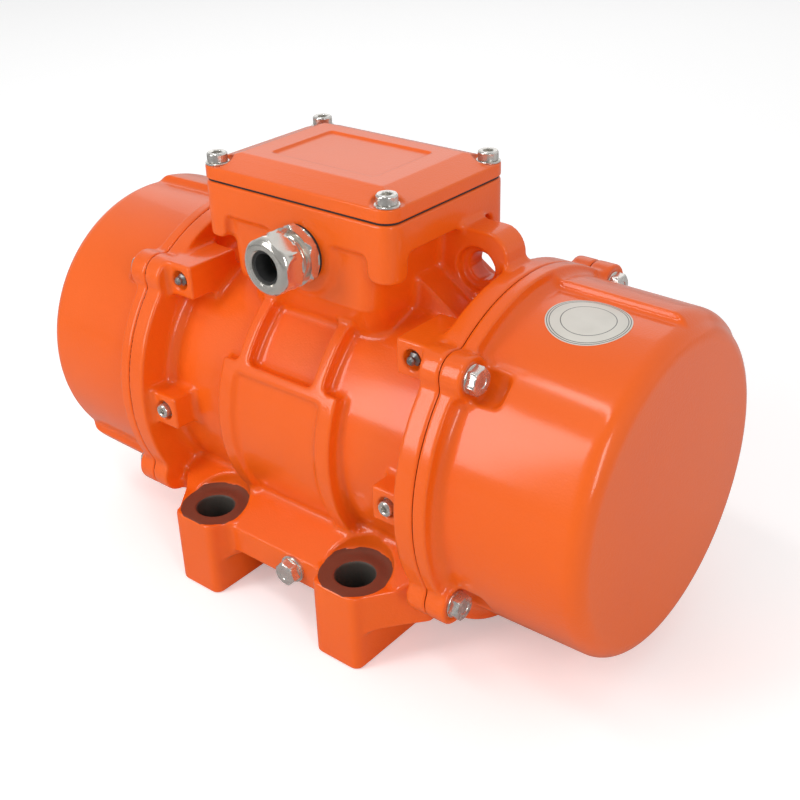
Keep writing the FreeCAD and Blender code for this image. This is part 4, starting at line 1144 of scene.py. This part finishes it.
@dataclass
class Castings:
    """Housing, end covers and lid with the sizes that their skins need, in millimetres."""

    flange_radius: float = 100.0
    barrel_radius: float = 78.0
    seam: float = 105.5
    flange_inner: float = 93.5
    belt_radius: float = 86.0
    belt_panel_radius: float = 83.5
    belt_span: tuple[float, float] = (-45.5, 38.5)
    belt_border: float = 10.0
    belt_angles: tuple[float, float] = (-52.0, 27.0)
    rib_places: tuple[float, float] = (-31.0, 24.0)
    rib_width: float = 7.5
    rib_top: float = 64.0
    panel_depth: float = 3.0
    belt_side_share: float = 0.6
    foot_places: tuple[float, float] = (55.0, 87.5)
    foot_bore: tuple[float, tuple[float, float]] = (13.0, (-5.0, 52.0))
    port_x: float = 84.0
    port_heights: tuple[float, float] = (105.5, 179.0)
    port_bore: tuple[float, tuple[float, float]] = (6.5, (-100.0, -60.0))
    eye_place: tuple[float, float] = (75.0, 202.0)
    eye_bore: tuple[float, tuple[float, float]] = (12.6, (-8.0, 16.0))
    cover_radii: tuple[float, float] = (91.0, 90.0)
    cover_start: float = 119.5
    cover_end: float = 194.0
    cover_edge: float = 10.0
    cover_flange: float = 8.0
    bolts: BoltCircle = BoltCircle()
    bolt_sink: float = 9.4
    sink_reach: tuple[float, float] = (-2.0, 1.6)
    pad_rise: float = 4.5
    pad_angles: tuple[float, float] = (96.0, 136.0)
    pad_inset: float = 0.3

    def crisp_rounds(self) -> list[Round]:
        """Machined places of the housing, which stay crisp.

        Returns:
            The rounds.
        """
        found = []
        for side in (-1, 1):
            for front in (-1, 1):
                place = (side * self.foot_places[0], front * self.foot_places[1])
                found.append(Round(Axis.Z, place, *self.foot_bore))
            for height in self.port_heights:
                found.append(Round(Axis.Y, (side * self.port_x, height), *self.port_bore))
            found.append(Round(Axis.Y, (side * self.eye_place[0], self.eye_place[1]), *self.eye_bore))
        return found

    def cover_drums(self, side: int) -> list[Drum]:
        """True curves of one end cover: its barrel and its upper pad.

        Args:
            side: 1 for the near end, -1 for the far end.

        Returns:
            The drums of barrel and pad.
        """
        rise = self.pad_rise
        pad_radii = (self.cover_radii[0] + rise, self.cover_radii[1] + rise)
        low, high = self.pad_angles
        places = self.bolts.places()
        return [Drum(self.cover_start, self.cover_end, self.cover_radii, self.cover_edge, side, clear=places),
                Drum(self.cover_start, self.cover_end - rise, pad_radii, self.cover_edge, side,
                     angles=(low + self.pad_inset, high - self.pad_inset), clear=places)]

    def cover_crisp(self, side: int) -> list[Round]:
        """Seats of the cover bolts, which stay crisp."""
        span = mirrored_span(tuple(self.bolts.seat + reach for reach in self.sink_reach), side)
        return [Round(Axis.X, place, self.bolt_sink, span) for place in self.bolts.places()]

    def housing_sectors(self) -> list[Sector]:
        """True curves of the housing.

        Returns:
            The sectors of both sides.
        """
        depth = self.panel_depth
        flange = (self.flange_inner, self.seam)
        found = [Sector((-self.flange_inner, self.flange_inner), self.barrel_radius)]
        found += [Sector(mirrored_span(flange, side), self.flange_radius) for side in (1, -1)]
        found.append(Sector(self.belt_span, self.belt_panel_radius, self.belt_angles, depth))
        low, high = self.belt_span
        start, stop = self.belt_angles
        border = math.degrees(self.belt_border / self.belt_radius)
        for span in ((low, low + self.belt_border), (high - self.belt_border, high)):
            found.append(Sector(span, self.belt_radius, (start, stop), depth))
        edge = (stop - self.belt_side_share * border, stop)
        found.append(Sector(self.belt_span, self.belt_radius, edge, depth))
        for middle in self.rib_places:
            span = (middle - self.rib_width / 2, middle + self.rib_width / 2)
            found.append(Sector(span, self.belt_radius, (stop, self.rib_top), depth))
        mirrored = [Sector(s.span, s.radius, (180.0 - s.angles[1], 180.0 - s.angles[0]), s.depth)
                    for s in found if s.angles]
        return found + mirrored

    def build(self, frame: dict, finishes: Finishes) -> None:
        """Make the four cast skins.

        Args:
            frame: the loaded frame.
            finishes: the motor's finishes.
        """
        skins = [(CastSkin("housing", voxel=1.0, fillet=2.8, crisp=self.crisp_rounds(),
                           exact=self.housing_sectors()))]
        flange = (self.seam, self.seam + self.cover_flange)
        for side, node in ((1, "near_cover"), (-1, "far_cover")):
            skins.append(CastSkin(node, voxel=0.9, fillet=3.0, crisp=self.cover_crisp(side),
                                  drums=self.cover_drums(side),
                                  exact=[Sector(mirrored_span(flange, side), self.flange_radius)]))
        skins.append(CastSkin("terminal_lid", voxel=0.5, fillet=1.6, budget=150000))
        for skin in skins:
            skin.build(frame, skin.node + "_casting", finishes)


# Fasteners


@dataclass(frozen=True)
class ScrewKind:
    """Sizes of a screw in millimetres."""

    thread: float
    head: float
    height: float
    shank: float
    drive: Drive = Drive.SOCKET
    segments: int = 96

    def form(self) -> Form:
        """Mesh with the underside of the head at the origin and the head towards +Z.

        Returns:
            Vertices in millimetres and faces.
        """
        r, h, thread = self.head / 2, self.height, self.thread / 2
        tip = (0.5, 0.6)
        profile = [(0.0, -self.shank), (thread - tip[0], -self.shank), (thread, -self.shank + tip[1]),
                   (thread, 0.0)]
        if self.drive is Drive.SOCKET:
            knurl_depth, knurl_teeth, key_share, floor_share = 0.02 * self.head, 36, 0.46, 0.36
            rim = knurl(r, knurl_depth, knurl_teeth)
            key = hexagon(self.head * key_share)
            profile += [(r - 0.5, 0.0), (r, 0.4), (rim, 0.8), (rim, h - 1.2), (r, h - 0.9),
                        (r - 0.25, h - 0.4), (r - 0.7, h), (self.head * 0.29, h), (key, h - 0.35),
                        (key, h * 0.42), (0.0, h * floor_share)]
        else:
            flats, cone, dish = hexagon(self.head), r * 0.96, 0.35
            profile += [(flats, 0.0), (flats, h - 0.9),
                        (lambda a: np.minimum(flats(a), cone + 0.7), h - 0.45), (cone, h),
                        (cone * 0.55, h - 0.05), (cone * 0.5, h - dish), (0.0, h - dish)]
        return round_form(profile, self.segments)


@dataclass(frozen=True)
class WasherKind:
    """Sizes of a washer in millimetres."""

    hole: float
    outside: float
    thickness: float
    segments: int = 64

    def form(self) -> Form:
        """Mesh with its far face at the origin, towards +Z.

        Returns:
            Vertices in millimetres and faces.
        """
        a, b, t = self.hole / 2, self.outside / 2, self.thickness
        edge = min(0.25, t / 4)
        profile = [(a, -t), (b - edge, -t), (b, -t + edge), (b, -edge), (b - edge, 0.0), (a + edge, 0.0),
                   (a, -edge)]
        return round_form(profile, self.segments, ring=True)


@dataclass(frozen=True)
class NippleKind:
    """Profile of a grease nipple as (radius, height) in millimetres, hexagon seat at height 0."""

    flats: float = 6.4
    stem: tuple[tuple[float, float], ...] = ((0.0, -9.0), (3.4, -9.0), (3.5, 0.0))
    hexagon_height: float = 2.0
    head: tuple[tuple[float, float], ...] = ((2.6, 2.4), (1.7, 3.0), (1.7, 3.8), (2.4, 4.4), (2.4, 5.0),
                                             (1.6, 6.0), (0.7, 6.2), (0.5, 5.8), (0.0, 5.8))
    segments: int = 48

    def form(self) -> Form:
        """Mesh with its hexagon's seat at the origin, towards +Z.

        Returns:
            Vertices in millimetres and faces.
        """
        flats = hexagon(self.flats)
        middle = [(flats, 0.0), (flats, self.hexagon_height)]
        return round_form([*self.stem, *middle, *self.head], self.segments)


class Kind(Protocol):
    """Anything that gives the mesh of one fastener."""

    def form(self) -> Form:
        """Mesh with its seat at the origin, towards +Z."""


@dataclass
class FastenerSet:
    """A group of equal fasteners that stands for one node."""

    node: str
    name: str
    kind: Kind
    places: Sequence[Point]
    facing: Sequence[Point]
    slot: str = "stainless"
    turn: float = 6.0
    seed: int = 7

    def build(self, finishes: Finishes) -> Piece:
        """Put the fasteners on their points and let the set ride on the frame.

        Args:
            finishes: the motor's finishes.

        Returns:
            The new piece.
        """
        part = mesh_object(self.name + "_part", *self.kind.form())
        dress(part, finishes.of(self.slot))
        carrier = mesh_object(self.name + "_points", np.array(self.places), [])
        facing = carrier.data.attributes.new("facing", "FLOAT_VECTOR", "POINT")
        facing.data.foreach_set("vector", np.array(self.facing, np.float32).ravel())
        piece = settle(carrier, set_tree(), {"Part": part, "Turn": self.turn, "Seed": self.seed,
                                             "Finish": finishes.of(self.slot)}, self.name)
        bpy.data.objects.remove(part)
        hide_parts(self.node)
        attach(piece, "frame")
        LOG.info("%s: %d fasteners", self.name, len(self.places))
        return piece


@dataclass
class Fasteners:
    """All screws and washers in view, with their places in millimetres."""

    lid_middle_y: float = -13.0
    lid_half: tuple[float, float] = (58.6, 41.5)
    lid_seat: float = 248.0
    washer: float = 1.2
    bolts: BoltCircle = BoltCircle()
    port_x: float = 84.0
    port_height: float = 105.5
    port_seat: float = -89.0
    nipple_height: float = 179.0
    nipple_seat: float = -66.0
    earth: Point = (15.0, -95.0, 38.0)

    def lid(self) -> tuple[list[Point], list[Point]]:
        """Places and facing of the lid screws, on top of their washers.

        Returns:
            Places and facing vectors.
        """
        x, y = self.lid_half
        height = self.lid_seat + self.washer
        places = [(sx * x, self.lid_middle_y + sy * y, height) for sx in (-1, 1) for sy in (-1, 1)]
        return places, [(0.0, 0.0, 1.0)] * 4

    def cover(self) -> tuple[list[Point], list[Point]]:
        """Places and facing of the cover bolts of both ends.

        Returns:
            Places and facing vectors.
        """
        places, facing = [], []
        for side in (1, -1):
            places += [(side * self.bolts.seat, y, z) for y, z in self.bolts.places()]
            facing += [(float(side), 0.0, 0.0)] * len(self.bolts.angles)
        return places, facing

    def build(self, finishes: Finishes) -> None:
        """Make the visible fasteners in order.

        Args:
            finishes: the motor's finishes.
        """
        out = [(0.0, -1.0, 0.0)]
        washer = self.washer
        lid, cover = self.lid(), self.cover()
        ports = [(side * self.port_x, self.port_seat - washer, self.port_height) for side in (-1, 1)]
        earth = (self.earth[0], self.earth[1] - 2 * washer, self.earth[2])
        hexagon_head = Drive.HEXAGON
        sets = [
            FastenerSet("lid_screws", "lid_socket_screws", ScrewKind(6.0, 11.0, 5.0, 22.0), *lid),
            FastenerSet("lid_washers", "lid_plain_washers", WasherKind(6.6, 13.0, washer), *lid),
            FastenerSet("cover_screws", "cover_hexagon_screws", ScrewKind(8.0, 13.0, 5.3, 24.0, hexagon_head),
                        *cover, seed=3),
            FastenerSet("cover_washers", "cover_plain_washers", WasherKind(8.6, 15.0, washer), *cover),
            FastenerSet("port_screws", "port_socket_screws", ScrewKind(5.0, 8.5, 5.0, 9.0), ports, out * 2),
            FastenerSet("port_washers", "port_plain_washers", WasherKind(5.6, 9.7, washer), ports, out * 2),
            FastenerSet("earth_screw", "earth_hexagon_screw", ScrewKind(8.0, 13.0, 5.3, 15.0, hexagon_head),
                        [earth], out, turn=0.4)]
        for fasteners in sets:
            fasteners.build(finishes)

    def nipples(self, finishes: Finishes) -> None:
        """Make both grease nipples in the upper port bosses.

        Args:
            finishes: the motor's finishes.
        """
        places = [(side * self.port_x, self.nipple_seat, self.nipple_height) for side in (-1, 1)]
        FastenerSet("grease_nipples", "grease_nipple_heads", NippleKind(), places, [(0.0, -1.0, 0.0)] * 2,
                    slot="screw_steel").build(finishes)


@dataclass
class CableGland:
    """Nickel gland: body with hexagon and thread, cap nut with its clamping cone."""

    x: float = 5.0
    height: float = 214.0
    seat_y: float = -62.0
    flats: float = 30.0
    thread: float = 25.0
    bore: float = 17.0
    washer: float = 1.5
    base: float = 6.0
    neck: float = 6.0
    nut: float = 13.0
    inner: float = 13.0
    overlap: float = 0.3
    shoulder: float = 4.6
    shoulder_steps: int = 7
    turns: float = 5.0
    ridge: float = 0.55
    segments: int = 144

    def placed(self, name: str, form: Form, start: float) -> Piece:
        """Turn a form from +Z to -Y and set it on the gland's line at start.

        Args:
            name: name of the piece.
            form: mesh about +Z.
            start: Y place of its height 0.

        Returns:
            The new piece.
        """
        vertices, faces = form
        turned = np.stack([vertices[:, 0] + self.x, start - vertices[:, 2], vertices[:, 1] + self.height], 1)
        return mesh_object(name, turned, faces)

    def body_form(self) -> Form:
        """Gland body with its foot in the wall, hexagon and thread core; height 0 is its seat.

        Returns:
            Vertices in millimetres and faces.
        """
        flats = hexagon(self.flats)
        core, bore, edge = self.thread / 2 - 0.5, self.bore / 2, self.flats / 2 + 1.2
        seat = -self.inner + self.washer
        top = self.base + self.neck + self.nut * 0.6
        profile = [(bore, seat), (core, seat), (core, 0.0), (edge - 0.6, 0.0),
                   (lambda a: np.minimum(flats(a), edge), 0.6), (flats, 1.3), (flats, self.base - 1.3),
                   (lambda a: np.minimum(flats(a), edge), self.base - 0.6), (edge - 0.6, self.base),
                   (core, self.base + 0.4), (core, top), (bore, top)]
        return round_form(profile, self.segments, ring=True)

    def nut_form(self) -> Form:
        """Cap nut, height 0 at its inner end: hexagon, round shoulder and clamping lip.

        Returns:
            Vertices in millimetres and faces.
        """
        flats = hexagon(self.flats)
        core, bore, length = self.thread / 2 + 0.1, self.bore / 2 + 0.5, self.nut
        edge, start = self.flats / 2 + 1.3, self.flats / 2 - 3.6
        shoulder = []
        for k in range(self.shoulder_steps + 1):
            a = math.pi / 2 * k / self.shoulder_steps
            radius = start + self.shoulder * math.cos(a)
            shoulder.append((lambda t, radius=radius: np.minimum(flats(t), radius),
                             length - self.shoulder + self.shoulder * math.sin(a)))
        profile = [(core, 0.0), (edge - 0.7, 0.0), (lambda a: np.minimum(flats(a), edge), 0.6), (flats, 1.4),
                   (flats, length - 6.4)] + shoulder
        profile += [(bore + 0.8, length), (bore, length - 0.8), (bore, length - 2.0), (core, length - 2.0)]
        return round_form(profile, self.segments, ring=True)

    def build(self, finishes: Finishes) -> None:
        """Make body, thread and cap nut.

        Args:
            finishes: the motor's finishes.
        """
        start = self.seat_y - self.washer
        body = self.placed("gland_hexagon_body", self.body_form(), start)
        nut = self.placed("gland_cap_nut", self.nut_form(), start - self.base - self.neck + self.overlap)
        nickel = finishes.of("nickel")
        for piece, node in ((body, "gland_body"), (nut, "gland_nut")):
            dress(piece, nickel, 28.0)
            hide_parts(node)
            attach(piece, "frame")
        carrier = mesh_object("thread_carrier", np.zeros((1, 3)), [])
        length = self.neck + 2 * self.overlap
        sizes = {"Radius": (self.thread / 2 - 0.45) * MM, "Length": length * MM, "Turns": self.turns,
                 "Ridge": self.ridge * MM, "Finish": nickel}
        ridge = settle(carrier, thread_tree(), sizes, "gland_thread")
        turn = Matrix(((1, 0, 0, self.x * MM), (0, 0, -1, (start - self.base + self.overlap) * MM),
                       (0, 1, 0, self.height * MM), (0, 0, 0, 1)))
        ridge.data.transform(turn)
        dress(ridge, nickel, 50.0)
        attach(ridge, "frame")
        LOG.info("gland: body, cap nut and thread")


@dataclass
class CoverLabel:
    """Round plain label on the barrel of the near cover, beside its pad."""

    x: float = 147.7
    angle: float = 81.6
    halves: tuple[float, float] = (21.6, 19.4)
    seat_radius: float = 91.0
    seat_start: float = 119.5
    seat_slope: float = 1.0 / 64.5
    thickness: float = 0.2
    sink: float = 0.1
    rings: int = 24
    segments: int = 96

    def build(self, finishes: Finishes) -> None:
        """Lay a thin disc on the cover's curve.

        Args:
            finishes: the motor's finishes.
        """
        rows, poles = [], []
        middle = math.radians(self.angle)
        a = np.arange(self.segments) * 2 * math.pi / self.segments
        for lift in (-self.sink, self.thickness):
            for ring in range(self.rings + 1):
                x = self.x + self.halves[0] * ring / self.rings * np.cos(a)
                turn = middle + self.halves[1] * ring / self.rings * np.sin(a) / self.seat_radius
                level = self.seat_radius - (x - self.seat_start) * self.seat_slope + lift
                row = np.stack([x, -level * np.cos(turn), SHAFT_HEIGHT + level * np.sin(turn)], 1)
                if ring:
                    rows.append(row)
                else:
                    poles.append(tuple(row[0]))
        n, count = self.segments, self.rings
        faces = []
        for k in range(n):
            m = (k + 1) % n
            faces.append([2 * count * n, m, k])
            faces.append([2 * count * n + 1, count * n + k, count * n + m])
            for ring in range(count - 1):
                low, high = ring * n, (ring + 1) * n
                faces.append([low + k, low + m, high + m, high + k])
                low, high = low + count * n, high + count * n
                faces.append([low + m, low + k, high + k, high + m])
            rim, top = (count - 1) * n, (2 * count - 1) * n
            faces.append([rim + k, rim + m, top + m, top + k])
        piece = mesh_object("cover_label", np.concatenate(rows + [np.array(poles)]), faces)
        centre = tuple(v * MM for v in poles[1])
        label = RingedLabel("label_film", (0.7, 0.68, 0.62), (0.62, 0.6, 0.54), (0.3, 0.4), mottle=60.0,
                            grain=1500.0, relief=0.00001, centre=centre)
        dress(piece, label.build())
        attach(piece, "frame")
        LOG.info("cover label")


# Stage


@dataclass(frozen=True)
class Lamp:
    """Soft rectangular lamp that looks at the motor: place and size in metres, power in watts."""

    name: str
    place: Point
    size: tuple[float, float]
    power: float
    target: Point = (0.02, 0.0, 0.12)

    def build(self) -> None:
        """Make the lamp."""
        light = bpy.data.lights.new(self.name, "AREA")
        light.shape = "RECTANGLE"
        light.size, light.size_y = self.size
        light.energy = self.power
        made = in_scene(self.name, light)
        made.location = self.place
        aim = Vector(self.target) - Vector(self.place)
        made.rotation_euler = aim.to_track_quat("-Z", "Y").to_euler()


@dataclass
class Stage:
    """Floor, lamps, world and the camera at the photograph's place."""

    place: Point = (0.4065, -0.4646, 0.4399)
    azimuth: float = 39.965
    elevation: float = 28.994
    roll: float = -1.791
    lens: float = 53.133
    floor_grey: float = 0.93
    floor_lift: float = 0.31
    sky: float = 0.56
    room_front: float = 0.3
    room_back: float = 0.75
    room_edge: float = 0.5
    white: float = 1.1
    floor_half: float = 12.0
    sensor: float = 36.0
    near_clip: float = 0.01
    lamps: tuple[Lamp, ...] = (
        Lamp("key", (-0.62, -1.15, 0.78), (0.42, 1.05), 7.5),
        Lamp("top_strip", (-0.2, -0.6, 1.6), (0.9, 0.12), 3.2),
        Lamp("side", (1.5, -0.75, 0.75), (0.3, 0.9), 6.5),
        Lamp("back", (-1.0, 1.2, 1.15), (1.5, 0.9), 2.4))

    def camera(self) -> None:
        """Make the camera."""
        az, el, roll = (math.radians(v) for v in (self.azimuth, self.elevation, self.roll))
        back = Vector((math.sin(az) * math.cos(el), -math.cos(az) * math.cos(el), math.sin(el)))
        right = Vector((math.cos(az), math.sin(az), 0.0))
        up = back.cross(right)
        side = right * math.cos(roll) + up * math.sin(roll)
        top = up * math.cos(roll) - right * math.sin(roll)
        turn = Matrix((side, top, back)).transposed().to_4x4()
        camera = in_scene("camera", bpy.data.cameras.new("camera"))
        camera.matrix_world = Matrix.Translation(self.place) @ turn
        camera.data.lens = self.lens
        camera.data.sensor_width = self.sensor
        camera.data.clip_start = self.near_clip
        bpy.context.scene.camera = camera

    def floor(self) -> None:
        """Make the pale floor; the camera sees it lifted to white, and reflections see the room."""
        half = self.floor_half
        mesh = bpy.data.meshes.new("floor")
        mesh.from_pydata([(-half, -half, 0), (half, -half, 0), (half, half, 0), (-half, half, 0)], [],
                         [(0, 1, 2, 3)])
        floor = in_scene("floor", mesh)
        material = bpy.data.materials.new("pale_floor")
        material.use_nodes = True
        tree = material.node_tree
        shader = tree.nodes["Principled BSDF"]
        shader.inputs["Roughness"].default_value = 0.6
        shader.inputs["Specular IOR Level"].default_value = 0.1
        path = tree.nodes.new("ShaderNodeLightPath")
        coordinates = tree.nodes.new("ShaderNodeTexCoord")
        share = self.room(tree, parts_of(tree, coordinates.outputs["Object"])["Y"])
        dark = math_node(tree, "SUBTRACT", 1.0, share)
        dim = math_node(tree, "MULTIPLY", path.outputs["Is Glossy Ray"], dark)
        grey = math_node(tree, "MULTIPLY", math_node(tree, "SUBTRACT", 1.0, dim), self.floor_grey)
        tone = tree.nodes.new("ShaderNodeCombineColor")
        for channel in range(3):
            link(tree, grey, tone.inputs[channel])
        link(tree, tone.outputs[0], shader.inputs["Base Color"])
        shader.inputs["Emission Color"].default_value = (1.0, 1.0, 1.0, 1.0)
        lift = math_node(tree, "MULTIPLY", path.outputs["Is Camera Ray"], self.floor_lift)
        link(tree, lift, shader.inputs["Emission Strength"])
        mesh.materials.append(material)

    def room(self, tree: Tree, place: Socket) -> Socket:
        """Brightness that reflections see: dim on the camera's side, white behind the motor.

        Args:
            tree: node tree that gets the nodes.
            place: Y place or direction.

        Returns:
            The brightness.
        """
        node = tree.nodes.new("ShaderNodeMapRange")
        node.interpolation_type = "SMOOTHSTEP"
        for label, value in (("From Min", -self.room_edge), ("From Max", self.room_edge),
                             ("To Min", self.room_front), ("To Max", self.room_back)):
            node.inputs[label].default_value = value
        link(tree, place, node.inputs["Value"])
        return node.outputs["Result"]

    def world(self) -> None:
        """White for the camera, a studio for reflections and a softer sky for the light."""
        world = bpy.data.worlds.new("studio")
        bpy.context.scene.world = world
        world.use_nodes = True
        tree = world.node_tree
        back = tree.nodes["Background"]
        path = tree.nodes.new("ShaderNodeLightPath")
        direction = parts_of(tree, tree.nodes.new("ShaderNodeTexCoord").outputs["Generated"])
        mirror = math_node(tree, "SUBTRACT", self.room(tree, direction["Y"]), self.sky)
        shine = math_node(tree, "MULTIPLY_ADD", path.outputs["Is Glossy Ray"], mirror, self.sky)
        white = math_node(tree, "MULTIPLY_ADD", path.outputs["Is Camera Ray"], self.white - self.sky, shine)
        back.inputs["Color"].default_value = (1.0, 1.0, 1.0, 1.0)
        link(tree, white, back.inputs["Strength"])

    def build(self) -> None:
        """Set the stage."""
        self.camera()
        self.floor()
        self.world()
        for lamp in self.lamps:
            lamp.build()
        bpy.context.scene.view_settings.view_transform = "Standard"


def dress_frame(frame: dict, finishes: Finishes) -> None:
    """Give every CAD node the finish of its slot.

    Args:
        frame: the loaded frame.
        finishes: the motor's finishes.
    """
    slots = {row["node"]: row["material_slot"] for row in frame["record"]["subparts"]}
    for name, node in frame["nodes"].items():
        node.data.materials.clear()
        node.data.materials.append(finishes.of(slots[name]))
    LOG.info("dressed %d nodes of the frame", len(frame["nodes"]))


def main() -> None:
    """Build the motor piece by piece."""
    logging.basicConfig(level=logging.INFO, format="%(name)s: %(message)s")
    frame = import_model()
    finishes = Finishes()
    finishes.build()
    dress_frame(frame, finishes)
    Castings().build(frame, finishes)
    fasteners = Fasteners()
    fasteners.build(finishes)
    CableGland().build(finishes)
    fasteners.nipples(finishes)
    CoverLabel().build(finishes)
    Stage().build()


if __name__ == "__main__":
    main()
